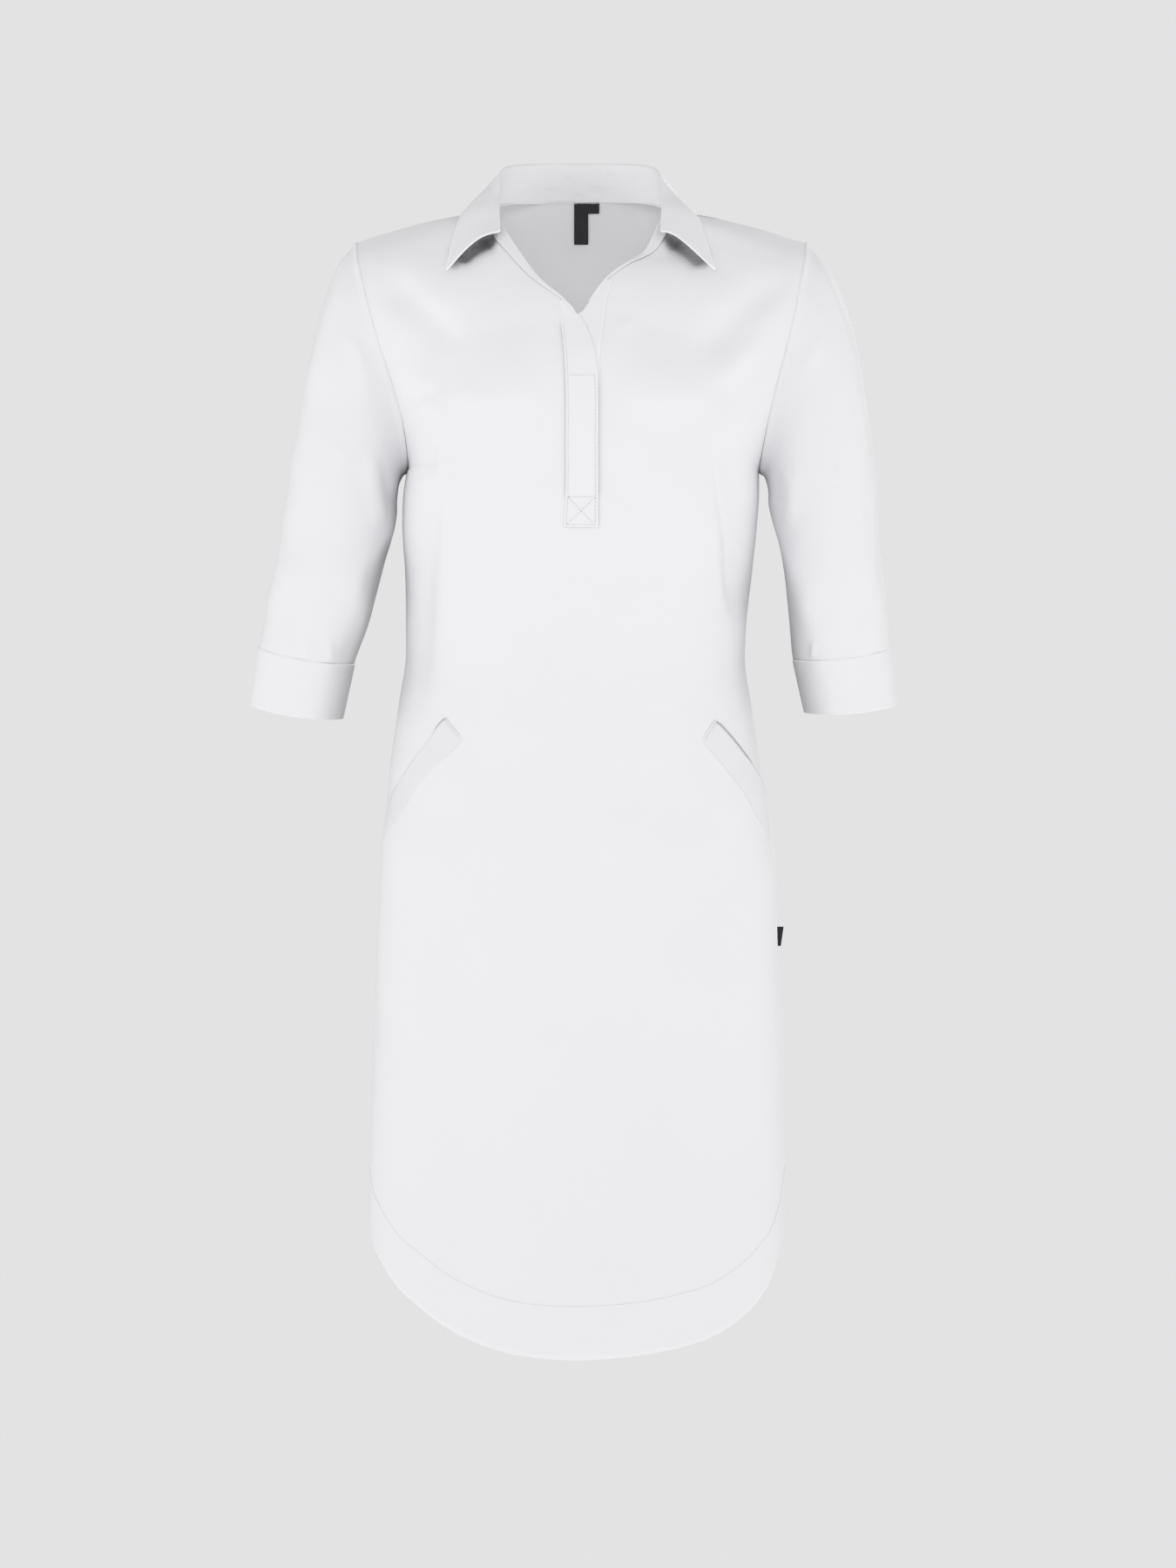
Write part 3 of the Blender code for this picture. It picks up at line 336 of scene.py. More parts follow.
def smooth(table, at):
    """A smooth curve through the table's rows, whose first column is the position, at each of the given places."""
    rows = np.array(table, float)
    knots, values = rows[:, 0], rows[:, 1:]
    if knots[0] > knots[-1]:
        knots, values = knots[::-1], values[::-1]
    steps = np.diff(knots)
    slopes = np.diff(values, axis=0) / steps[:, None]
    tangents = np.empty_like(values)
    tangents[0], tangents[-1] = slopes[0], slopes[-1]
    before, after = steps[:-1, None], steps[1:, None]
    tangents[1:-1] = (slopes[:-1] * after + slopes[1:] * before) / (before + after)
    at = np.clip(np.asarray(at, float), knots[0], knots[-1])
    i = np.clip(np.searchsorted(knots, at) - 1, 0, len(steps) - 1)
    h = steps[i][..., None]
    u = (at[..., None] - knots[i][..., None]) / h
    return (
        (2 * u**3 - 3 * u**2 + 1) * values[i]
        + (u**3 - 2 * u**2 + u) * h * tangents[i]
        + (-2 * u**3 + 3 * u**2) * values[i + 1]
        + (u**3 - u**2) * h * tangents[i + 1]
    )


def bezier(a, b, c, d, t):
    s = 1 - t
    return s**3 * a + 3 * s * s * t * b + 3 * s * t * t * c + t**3 * d


def ease(u):
    """0 below 0, 1 above 1, and a soft step between."""
    u = np.clip(u, 0, 1)
    return u * u * (3 - 2 * u)


def unit(v):
    return v / np.maximum(np.linalg.norm(v, axis=-1, keepdims=True), 1e-12)


def dot(a, b):
    return (a * b).sum(axis=-1)


HALVINGS = 26  # of the search for the end of an arc


def cut_arc(width, depth, full_c, full_s, y_edge):
    """Handles of the part of a body arc that runs from the centre to where it is y_edge deep."""
    zero = np.zeros_like(width)
    a, b = np.stack([zero, depth], -1), np.stack([full_c * width, depth], -1)
    c, d = np.stack([width, full_s * depth], -1), np.stack([width, zero], -1)
    low, high = np.zeros_like(width), np.ones_like(width)
    for _ in range(HALVINGS):
        t = (low + high) / 2
        deep = bezier(depth, depth, full_s * depth, zero, t) > y_edge
        low, high = np.where(deep, t, low), np.where(deep, high, t)
    t = t[..., None]
    ab, bc, cd = a + (b - a) * t, b + (c - b) * t, c + (d - c) * t
    abc, bcd = ab + (bc - ab) * t, bc + (cd - bc) * t
    return ab - a, abc - (abc + (bcd - abc) * t)


# ---- the form of the panels ----
def hem_z(side, share_out):
    drop = smooth(HEM_CURVE, share_out)
    return SIDE_HEM_Z + (CENTRE_HEM_Z - SIDE_HEM_Z) * np.where(side < 0, drop[..., 0], drop[..., 1])


def lower_body(panel, side, v, t):
    level = SIDE_HEM_Z + (UNDERARM_Z - SIDE_HEM_Z) * v
    hang = np.maximum(0.0, 1 - v / HEM_REACH) ** 1.6
    z = level + (hem_z(side, bezier(0.0, 0.6, 1.0, 1.0, t)) - SIDE_HEM_Z) * hang
    right, left, front, back, full_c, full_s = np.moveaxis(smooth(BODY_LEVELS, z), -1, 0)
    width = np.where(side < 0, right, left)
    depth = -front if panel == "front" else back
    x = side * bezier(0.0, full_c, 1.0, 1.0, t) * width
    return np.stack([x, bezier(1.0, 1.0, full_s, 0.0, t) * depth, z], -1)


def upper_body(panel, side, v, t):
    share = v - 1
    right, left, front, back, z, out = np.moveaxis(smooth(ARMHOLE, share), -1, 0)
    width = np.where(side < 0, right, left)
    if panel == "front":
        sign, split, centre, handles = -1.0, NECK_POINT, FRONT_CENTRE, FRONT_HANDLES
        outer = np.stack([width, front, z], -1)
        neck = np.where(side[..., None] < 0, smooth(NECK_EDGE_RIGHT, share), smooth(NECK_EDGE_LEFT, share))
    else:
        sign, split, centre, handles = 1.0, NECK_BACK, BACK_CENTRE, BACK_HANDLES
        outer = np.stack([width + out, back, z], -1)
        neck = smooth(BACK_NECK, share)
    inner = np.where(share[..., None] < split, np.insert(smooth(centre, share), 0, 0.0, axis=-1), neck)
    full_c, full_s = smooth(BODY_LEVELS, UNDERARM_Z)[4:]
    first, last = cut_arc(width, np.abs(inner[..., 1]), full_c, full_s, np.abs(outer[..., 1]))
    zero = np.zeros_like(width)
    arc = np.stack([first[..., 0], first[..., 1] * sign, zero, last[..., 0], last[..., 1] * sign, zero], -1)
    handles = arc + (smooth(handles, share) - arc) * ease(share / 0.36)[..., None]
    point = bezier(inner, inner + handles[..., :3], outer + handles[..., 3:], outer, t[..., None])
    point[..., 0] *= side
    return point


def panel_base(panel, side, v, t):
    """Outer face of a panel. v runs 0 at the hem, 1 at the underarm, 2 at the shoulder; t from centre to edge."""
    side, v, t = np.broadcast_arrays(*(np.asarray(k, float) for k in (side, v, t)))
    point = np.empty(v.shape + (3,))
    for part, where in ((lower_body, v <= 1), (upper_body, v > 1)):
        if where.any():
            point[where] = part(panel, side[where], v[where], t[where])
    return point


# ---- folds ----
def fold_height(face, x, z):
    """Height of the soft folds of a face at points seen square on."""
    total = np.zeros_like(x)
    for path, half_start, half_end, height, skew, fade in FOLDS.get(face, ()):
        corners = np.array(path, float)
        runs = np.diff(corners, axis=0)
        lengths = np.hypot(runs[:, 0], runs[:, 1])
        starts = np.concatenate([[0.0], np.cumsum(lengths)])
        nearest = np.full(x.shape, np.inf)
        along, offset = np.zeros_like(x), np.zeros_like(x)
        for (x0, z0), run, length, start in zip(corners, runs, lengths, starts):
            dx, dz = x - x0, z - z0
            share = np.clip((dx * run[0] + dz * run[1]) / length**2, 0, 1)
            distance = np.hypot(dx - share * run[0], dz - share * run[1])
            closer = distance < nearest
            nearest = np.where(closer, distance, nearest)
            along = np.where(closer, (start + share * length) / starts[-1], along)
            offset = np.where(closer, distance * np.sign(dx * run[1] - dz * run[0]), offset)
        half = half_start + (half_end - half_start) * along
        across = offset / (half * (1 + skew * np.sign(offset)))
        end = ease(np.minimum(along, 1 - along) / fade)
        total += height * end * np.exp(-1.6 * across**2)
    return total


WAVES = ((150, 0.5), (95, 0.35), (62, 0.22), (38, 0.10))  # length and height, three of each


def unevenness(x, z, seed):
    """The slight waviness of pressed cloth, from a few long crossed waves."""
    waves = np.random.default_rng(seed)
    total = np.zeros_like(x)
    for size, height in WAVES:
        for _ in range(3):
            turn, phase = waves.uniform(0, math.pi), waves.uniform(0, 2 * math.pi)
            total += height * np.sin((x * math.cos(turn) + z * math.sin(turn)) * 2 * math.pi / size + phase)
    return total


def panel_normal(panel, side, v, t):
    """Outward directions of a panel without its folds."""
    side, v, t = np.broadcast_arrays(*(np.asarray(k, float) for k in (side, v, t)))
    e = 0.004
    v0, v1 = np.maximum(v - e, 0), np.minimum(v + e, 2)
    t0, t1 = np.maximum(t - e, 0), np.minimum(t + e, 1)
    along_v = panel_base(panel, side, v1, t) - panel_base(panel, side, v0, t)
    along_t = panel_base(panel, side, v, t1) - panel_base(panel, side, v, t0)
    turn = np.where((side > 0) == (panel == "front"), 1.0, -1.0)
    return unit(np.cross(along_t, along_v)) * turn[..., None]


def panel_point(panel, side, v, t, lift=0.0):
    """Outer face of a panel with its folds, moved off it by lift."""
    base = panel_base(panel, side, v, t)
    height = fold_height(panel, base[..., 0], base[..., 2])
    height += 0.8 * unevenness(base[..., 0], base[..., 2], 3 if panel == "front" else 4)
    height = height * ease((1 - np.asarray(t, float)) / 0.12)
    return base + (height + lift)[..., None] * panel_normal(panel, side, v, t)


MOST_V, MOST_T = 0.05, 0.1  # longest step of the search for a point of a panel
GUESS_V, GUESS_T = (k.ravel() for k in np.meshgrid(np.linspace(0, 2, 101), np.linspace(0, 1, 31), indexing="ij"))


def find_on(panel, x, z):
    """(side, v, t) of the panel's points that are seen at these x and z."""
    shape, x, z = np.shape(x), np.ravel(x), np.ravel(z)
    side = np.where(x < 0, -1.0, 1.0)
    v, t = np.zeros_like(x), np.zeros_like(x)
    for s in (-1.0, 1.0):
        guess = panel_base(panel, s, GUESS_V, GUESS_T)
        for k in np.flatnonzero(side == s):
            best = np.argmin((guess[:, 0] - x[k]) ** 2 + (guess[:, 2] - z[k]) ** 2)
            v[k], t[k] = GUESS_V[best], GUESS_T[best]
    e = 1e-4
    for _ in range(8):
        here = panel_base(panel, side, v, t)
        by_v = (panel_base(panel, side, v + e, t) - here) / e
        by_t = (panel_base(panel, side, v, t + e) - here) / e
        miss_x, miss_z = x - here[:, 0], z - here[:, 2]
        det = by_v[:, 0] * by_t[:, 2] - by_v[:, 2] * by_t[:, 0]
        det = np.where(np.abs(det) < 1e-3, 1e-3, det)
        step_v = (miss_x * by_t[:, 2] - miss_z * by_t[:, 0]) / det
        step_t = (by_v[:, 0] * miss_z - by_v[:, 2] * miss_x) / det
        v = np.clip(v + np.clip(step_v, -MOST_V, MOST_V), 0, 2 - 2 * e)
        t = np.clip(t + np.clip(step_t, -MOST_T, MOST_T), 0, 1 - 2 * e)
    return side.reshape(shape), v.reshape(shape), t.reshape(shape)


def lay(panel, x, z, lift):
    """Points over the panel at these x and z, moved off its outer face by lift, and the outward directions."""
    side, v, t = find_on(panel, x, z)
    return panel_point(panel, side, v, t, np.asarray(lift, float)), panel_normal(panel, side, v, t)


# ---- meshes ----
def quads_of(rows, columns, closed=False, flip=False, first=0):
    i, j = np.meshgrid(np.arange(rows - 1), np.arange(columns if closed else columns - 1), indexing="ij")
    k = (j + 1) % columns
    quads = np.stack([i * columns + j, i * columns + k, (i + 1) * columns + k, (i + 1) * columns + j], -1)
    quads = quads.reshape(-1, 4) + first
    return quads[:, ::-1] if flip else quads


def face_normals(points, quads):
    a, b, c, d = (points[quads[:, k]] for k in range(4))
    face = np.cross(c - a, d - b)
    normals = np.zeros_like(points)
    for k in range(4):
        np.add.at(normals, quads[:, k], face)
    return unit(normals)


def mesh_object(name, points, faces, uv, marks):
    """A smooth mesh that rides on the root, with cloth coordinates and the marks that the materials read."""
    mesh = bpy.data.meshes.new(name)
    mesh.from_pydata((points / 1000).tolist(), [], faces)
    mesh.update()
    layer = mesh.uv_layers.new(name="cloth_mm")
    corners = np.empty(len(mesh.loops), np.int32)
    mesh.loops.foreach_get("vertex_index", corners)
    layer.data.foreach_set("uv", np.asarray(uv, np.float32)[corners].ravel())
    mesh.polygons.foreach_set("use_smooth", np.full(len(mesh.polygons), True))
    for mark, values in marks.items():
        layer = mesh.attributes.new(mark, "FLOAT", "POINT")
        layer.data.foreach_set("value", np.broadcast_to(np.asarray(values, np.float32), len(points)).copy())
    made = bpy.data.objects.new(name, mesh)
    bpy.context.scene.collection.objects.link(made)
    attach(made, "root")
    return made


def shell(name, points, quads, wall, uv, painted_shade=0.0, painted_highlight=0.0):
    """A thin closed cloth shell: the outer face, the inner face and a rounded edge all round.

    The first mark says how far the painted shade of crevices reaches (1 far, -1 hardly), the second how much painted
    highlight the rounded edge gets.
    """
    points = np.asarray(points, float)
    wall = np.broadcast_to(np.asarray(wall, float), len(points))[:, None]
    normals = face_normals(points, quads)
    count = len(points)
    edges = quads[:, [0, 1, 1, 2, 2, 3, 3, 0]].reshape(-1, 2)
    border = edges[~np.isin(edges[:, 0] * count + edges[:, 1], edges[:, 1] * count + edges[:, 0])]
    outward = np.zeros_like(points)
    way = np.cross(points[border[:, 1]] - points[border[:, 0]], normals[border[:, 0]])
    np.add.at(outward, border[:, 0], way)
    np.add.at(outward, border[:, 1], way)
    ids = np.unique(border)
    outward = unit(outward[ids])
    place = np.full(count, -1)
    place[ids] = np.arange(len(ids))
    painted_shade = np.broadcast_to(np.asarray(painted_shade, float), count)
    layers, all_points, all_uv, all_painted_shade = [], [points, points - normals * wall], [uv, uv], [painted_shade, painted_shade]
    for turn in (0.25, 0.5, 0.75):
        down = wall[ids] / 2 * (1 - math.cos(math.pi * turn))
        all_points.append(points[ids] - normals[ids] * down + outward * wall[ids] / 2 * math.sin(math.pi * turn))
        all_uv.append(uv[ids])
        all_painted_shade.append(painted_shade[ids])
        layers.append(2 * count + len(layers) * len(ids))
    loops = [border, *[place[border] + first for first in layers], border + count]
    faces = [quads, quads[:, ::-1] + count]
    for upper, lower in zip(loops[:-1], loops[1:]):
        faces.append(np.stack([upper[:, 1], upper[:, 0], lower[:, 0], lower[:, 1]], -1))
    # Painted highlight: the rounded edge is drawn lighter, and the faces next to it a little.
    light = np.zeros(sum(len(k) for k in all_points))
    light[2 * count:] = painted_highlight
    light[ids] = painted_highlight * 0.6
    marks = {"painted_shade": np.concatenate(all_painted_shade), "painted_highlight": light}
    return mesh_object(name, np.vstack(all_points), np.vstack(faces).tolist(), np.vstack(all_uv), marks)


def run_of(grid, axis):
    """How far each point of a grid lies over the cloth from the first row (axis 0) or column (axis 1)."""
    return np.linalg.norm(np.diff(grid, axis=axis, prepend=grid.take([0], axis)), axis=2).cumsum(axis=axis)


def grid_shell(solid, grid, wall, ribbon=False, closed=False, flip=False, painted_shade=0.0, painted_highlight=0.0):
    """A cloth shell on a grid of points, in place of the named solid."""
    shape = grid.shape[:2]
    wall, painted_shade = (np.broadcast_to(np.asarray(k, float), shape).ravel() for k in (wall, painted_shade))
    across, down = run_of(grid, 1), run_of(grid, 0)
    uv = np.stack([across, np.broadcast_to(down.mean(axis=1, keepdims=True), shape)], -1).reshape(-1, 2)
    quads = quads_of(*shape, closed, flip)
    name, slot = (f"{solid}_ribbon", "black_ribbon") if ribbon else (f"{solid}_cloth", "white_twill")
    made = shell(name, grid.reshape(-1, 3), quads, wall, uv, painted_shade=painted_shade, painted_highlight=painted_highlight)
    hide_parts(solid)
    return made


# ---- stitches ----
PITCH, LENGTH, RADIUS = 3.1, 2.3, 0.25  # of the stitches in a row, millimetres
STITCH_SIDES = 6
STITCH_WIDTH = np.array([0.35, 0.9, 1.0, 0.9, 0.35])  # of the radius, from end to end of a stitch
STITCH_LIFT = np.array([-0.16, 0.06, 0.12, 0.06, -0.16])  # off the cloth, in the same places


def stitches(name, lines, painted_shade):
    """Rows of thread stitches along lines of points with outward directions, as one mesh."""
    all_points, all_faces, count = [], [], 0
    sides, cuts = STITCH_SIDES, len(STITCH_WIDTH)
    for points, normals in lines:
        points, normals = np.asarray(points, float), unit(np.asarray(normals, float))
        run = np.concatenate([[0.0], np.linalg.norm(np.diff(points, axis=0), axis=1).cumsum()])
        starts = np.arange(0.4, run[-1] - LENGTH, PITCH)
        if not len(starts):
            continue
        at = starts[:, None] + np.linspace(0, 1, cuts) * LENGTH
        centre = np.stack([np.interp(at, run, points[:, k]) for k in range(3)], -1)
        up = unit(np.stack([np.interp(at, run, normals[:, k]) for k in range(3)], -1))
        forward = unit(np.gradient(centre, axis=1))
        across = unit(np.cross(forward, up))
        thick = RADIUS * STITCH_WIDTH[:, None, None]
        lift = STITCH_LIFT[:, None] * up
        c, s = np.cos(circle(sides))[:, None], np.sin(circle(sides))[:, None]
        ring = (centre + lift)[:, :, None] + thick * (across[:, :, None] * c + up[:, :, None] * s)
        all_points.append(ring.reshape(-1, 3))
        tube = quads_of(cuts, sides, closed=True)
        offsets = count + np.arange(len(starts)) * cuts * sides
        all_faces += (tube[None] + offsets[:, None, None]).reshape(-1, 4).tolist()
        for first in offsets:
            all_faces.append([int(first + k) for k in reversed(range(sides))])
            all_faces.append([int(first + (cuts - 1) * sides + k) for k in range(sides)])
        count += len(starts) * cuts * sides
    points = np.vstack(all_points)
    return mesh_object(name, points, all_faces, points[:, [0, 2]], {"painted_shade": painted_shade})


# ---- panels ----
def spaced(*stretches):
    """Places from stretch to stretch, each given as (start, end, number of steps)."""
    return np.unique(np.concatenate([np.linspace(a, b, n + 1) for a, b, n in stretches]).round(9))


PANEL_V = {
    "front": spaced((0, 0.06, 12), (0.06, 0.54, 50), (0.54, 0.70, 54), (0.70, 1.0, 44), (1.0, 2.0, 90)),
    "back": spaced((0, 0.06, 12), (0.06, 1.0, 138), (1.0, 2.0, 90)),
}
PANEL_T = {
    "front": spaced((0, 0.36, 26), (0.36, 0.72, 36), (0.72, 0.99, 15), (0.99, 1.0, 3)),
    "back": spaced((0, 0.99, 62), (0.99, 1.0, 3)),
}
HEM, HEM_WALL = 45.0, 1.5  # height of the turned-up hem, and thickness of the cloth there
TURN_IN = np.array([0.5, 1.6, 4.0, 7.0])  # how far the seam allowance goes inwards, column by column
SIDES = {-1: "right", 1: "left"}  # of the wearer, by the sign of x


def seam_shift(panel, side, v, t):
    """Keeps half a seam gap clear at the side seam, the armhole and the shoulder."""
    sign = -1.0 if panel == "front" else 1.0
    shift = np.zeros(v.shape + (3,))
    shift[..., 1] = np.where((v > 1.999) | ((t > 0.999) & (v <= 1)), sign * SEAM / 2, 0)
    arm = (t > 0.999) & (v > 1)
    if arm.any():
        way = armhole_seam(panel, side[arm], v[arm] - 1)[1]
        shift[arm] -= way * SEAM / 2
    return shift


def build_panel(panel):
    """Both halves of a panel, joined at the centre up to the slit and the neck edge."""
    heights, ways = PANEL_V[panel], PANEL_T[panel]
    split = 1 + (NECK_POINT if panel == "front" else NECK_BACK)
    tall, wide = len(heights), len(ways) + len(TURN_IN)
    half = tall * wide
    points, cloth, quads, painted_shade = [], [], [], []
    for side in SIDES:
        v, t = np.meshgrid(heights, ways, indexing="ij")
        s = np.full_like(v, side)
        grid = panel_point(panel, s, v, t)
        edge_normal = panel_normal(panel, s, v, t)[:, -1]
        down = run_of(grid, 0)
        uv = np.stack([side * run_of(grid, 1), down[:, :1] * 0.5 + down * 0.5], -1)
        grid = grid + seam_shift(panel, s, v, t)
        turned = grid[:, -1:] - edge_normal[:, None] * TURN_IN[:, None]
        if panel == "front":
            slit = (v[:, 0] < split) & (grid[:, 0, 2] > SLIT_END_Z)
            grid[slit, 0, 0] += side * SLIT / 2
        grid = np.concatenate([grid, turned], axis=1)
        uv = np.concatenate([uv, uv[:, -1:] + np.stack([TURN_IN * side, 0 * TURN_IN], -1)], axis=1)
        points.append(grid.reshape(-1, 3))
        # The painted shade of crevices reaches less far beside the armhole seams and down the side seams.
        reach = np.clip(fold_height(panel + "_painted_shade", grid[..., 0], grid[..., 2]), -1, 1)
        edge = np.concatenate([t, np.ones((tall, len(TURN_IN)))], axis=1)
        reach -= 0.55 * (edge > 0.97) * (grid[..., 2] > UNDERARM_Z + 12)
        reach -= 0.5 * ease((edge - 0.70) / 0.15) * ease((UNDERARM_Z - grid[..., 2]) / 25)
        painted_shade.append(reach.ravel())
        cloth.append(uv.reshape(-1, 2))
        quads.append(quads_of(tall, wide, flip=(side < 0) != (panel == "back"), first=half * len(quads)))
    points, cloth, quads, painted_shade = np.vstack(points), np.vstack(cloth), np.vstack(quads), np.concatenate(painted_shade)
    for i, v in enumerate(heights):
        slit = panel == "front" and (points[i * wide, 2] > SLIT_END_Z or v > split - 1e-9)
        if not slit and v <= split + 1e-9:
            quads[quads == half + i * wide] = i * wide
    used = np.unique(quads)
    place = np.full(len(points), -1)
    place[used] = np.arange(len(used))
    points, cloth, quads, painted_shade = points[used], cloth[used], place[quads], painted_shade[used]
    wall = TWILL + (HEM_WALL - TWILL) * ease((HEM + 1 - cloth[:, 1]) / 2)
    # The panel's rounded edges get a painted highlight.
    made = shell(f"{panel}_panel", points, quads, wall, cloth, painted_shade=painted_shade, painted_highlight=0.5)
    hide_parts(panel)
    return made


def shoulder_normal(side, t):
    both = panel_normal("front", side, 2.0, t) + panel_normal("back", side, 2.0, t)
    both[..., 1] = 0
    return unit(both)


def armhole_seam(panel, side, share):
    """At the armhole seam: outward direction of the panel, the way to its edge, the sleeve's outward direction,
    and which way the sleeve's edge stands apart from the panel's."""
    share = np.asarray(share, float)
    side = np.broadcast_to(np.asarray(side, float), share.shape)
    e = 0.01
    one = np.ones_like(share)
    edge = panel_base(panel, side, 1 + share, one)
    above = panel_base(panel, side, 1 + np.minimum(share + e, 1), one)
    below = panel_base(panel, side, 1 + np.maximum(share - e, 0), one)
    start = np.array([0.0, -1.0 if panel == "front" else 1.0, 0.0])
    along = unit(np.where(share[..., None] < e, start, above - below))
    drop = 0.25 + 0.40 * ease(share)
    sleeve_way = np.stack([side * drop, 0 * drop, -np.sqrt(1 - drop * drop)], -1)
    sleeve_way = unit(sleeve_way - along * dot(sleeve_way, along)[..., None])
    panel_out = panel_normal(panel, side, 1 + share, 0.97 * one)
    sleeve_out = unit(np.cross(along, sleeve_way))
    middle = np.stack([side * 172.0, 0 * side, 0 * side - 130.0], -1)
    sleeve_out = sleeve_out * np.where(dot(sleeve_out, edge - middle) < 0, -1.0, 1.0)[..., None]
    roof = np.clip((dot(panel_out, sleeve_out) + 0.2) / 0.6, 0, 1)[..., None]
    panel_way = unit(edge - panel_base(panel, side, 1 + share, 0.97 * one))
    apart = unit(sleeve_way + 2 * (1 - roof) * panel_out)
    return unit(panel_out + roof * sleeve_out), panel_way, unit(sleeve_out + roof * panel_out), apart


# ---- sleeves ----
def armhole_ring(side, sides):
    """Points of the armhole seam from the shoulder tip down the front, round the underarm and up the back."""
    k = np.arange(sides)
    half = sides // 2
    share = np.where(k <= half, 1 - k / half, (k - half) / half)
    share = np.clip(0.5 - 0.175 * np.cos(math.pi * share) + (share - 0.5) * 0.65, 0, 1)
    ring, normals = np.empty((sides, 3)), np.empty((sides, 3))
    for panel, where in (("front", k <= half), ("back", k > half)):
        _, _, normal, apart = armhole_seam(panel, side, share[where])
        ring[where] = panel_base(panel, side, 1 + share[where], 1.0) + apart * (SEAM / 2 + 0.2)
        normals[where] = normal
    tip = share > 0.999
    if tip.any():
        normals[tip] = unit((normals[tip] + shoulder_normal(side, 1.0)) * np.array([1, 0, 1]))
    return ring, normals


def sleeve_rings(rows, sides):
    """Oval rings: from the outer point round the front to the inner point and back."""
    rows = np.atleast_2d(rows)[:, None, :]
    outer = np.stack([rows[..., 0], rows[..., 5], rows[..., 1]], -1)
    inner = np.stack([rows[..., 2], rows[..., 5], rows[..., 3]], -1)
    c, s = np.cos(circle(sides))[None, :, None], np.sin(circle(sides))[None, :]
    rings = (outer + inner) / 2 + (outer - inner) / 2 * c
    rings[..., 1] -= 0.5 * rows[..., 4] * s
    rings[..., 2] += rows[..., 6] * (np.maximum(-s, 0) ** 1.5 - np.maximum(s, 0) ** 1.5)
    return rings


def sleeve_surface(side, shares, sides):
    own = [0, 1, 2, 3, 8, 9, 10] if side < 0 else [4, 5, 6, 7, 8, 9, 10]
    start, normals = armhole_ring(side, sides)
    first = sleeve_rings(smooth(SLEEVES, 0.0)[own], sides)[0]
    weight = 1 - ease(shares / 0.42)
    grid = sleeve_rings(smooth(SLEEVES, shares)[:, own], sides) + (start - first) * weight[:, None, None]
    return grid, normals


def build_sleeve(side):
    name = f"sleeve_{SIDES[side]}"
    shares = np.linspace(0, 1, SLEEVE_ROWS - 1)
    shares = np.insert(shares * (0.72 + 0.28 * shares), 1, 0.0014)
    grid, seam_normals = sleeve_surface(side, shares, SLEEVE_COLUMNS)
    quads = quads_of(SLEEVE_ROWS, SLEEVE_COLUMNS, closed=True, flip=side > 0)
    normals = face_normals(grid.reshape(-1, 3), quads).reshape(grid.shape)
    x, z = grid[..., 0], grid[..., 2]
    angle = circle(SLEEVE_COLUMNS)
    facing = ease(np.abs(np.sin(angle)) / 0.28)[None, :]
    front = (np.sin(angle) > 0)[None, :]
    height = facing * np.where(front, fold_height(name + "_front", x, z), fold_height(name + "_back", x, z))
    height += 0.7 * unevenness(x + 2 * grid[..., 1], z, 5 if side < 0 else 6)
    run = run_of(grid, 0)
    height *= ease(run / 25) * ease((run[-1] - run) / 14 + 0.45)
    height += 1.3 * ease(run / 7) * np.exp(-((run / 26) ** 2))
    end = grid[-1].copy()
    grid = grid + height[..., None] * normals
    grid[-1] = end
    grid = np.concatenate([grid[:1] - seam_normals * TURN_IN[::-1, None, None], grid])
    # The side towards the body gets more painted shade, more so down the sleeve, and the seam at the armhole less.
    row = np.arange(len(grid))[:, None]
    facing_in = ease((0.45 - np.cos(angle)) / 1.2)[None, :]
    inner = facing_in * (-0.35 * ease((row - 6) / 14) + 1.25 * np.clip((row - 42) / 76, 0, 1) ** 1.2)
    inner = inner - 0.5 * (1 - ease((row - 5) / 4))
    return grid_shell(name, grid, TWILL, closed=True, flip=side > 0, painted_shade=inner), end


def build_cuff(side, sleeve_end):
    end = sleeve_rings(np.array([CUFF_RIGHT_END if side < 0 else CUFF_LEFT_END], float), SLEEVE_COLUMNS)[0]
    shares = np.concatenate([[SEAM / 50], np.linspace(0.03, 1.0, 26)])
    share = shares[:, None, None]
    grid = sleeve_end * (1 - share) + end * share
    middle = sleeve_end.mean(axis=0) * (1 - share) + end.mean(axis=0) * share
    out = unit(grid - middle)
    angle = circle(SLEEVE_COLUMNS)
    pucker = 0.25 * np.sin(9 * angle + 1.0) * np.exp(-shares * 7)[:, None]
    pucker = pucker + 0.35 * np.sin(3 * angle + 2) * shares[:, None]
    grid = grid + out * (CUFF_PROUD + pucker)[..., None]
    # Painted shade on the side towards the body, a little less next to the seam; a painted highlight on the rounded
    # edges.
    inner = ease((0.45 - np.cos(angle)) / 1.2)[None, :] - 0.15 * (1 - ease(shares / 0.12))[:, None]
    made = grid_shell(f"cuff_{SIDES[side]}", grid, DOUBLE, closed=True, flip=side > 0, painted_shade=inner, painted_highlight=0.8)
    return made, grid


# ---- collar ----
STAND_POINTS, BEND_POINTS, LEAF_POINTS = 26, 11, 30
# How much of the collar's length the free front edge of each leaf is arched back, and where along it the
# arch is highest (1 is the middle, less is nearer to the neck).
LEAF_ARCH = {-1: (0.055, 0.95), 1: (0.048, 0.75)}


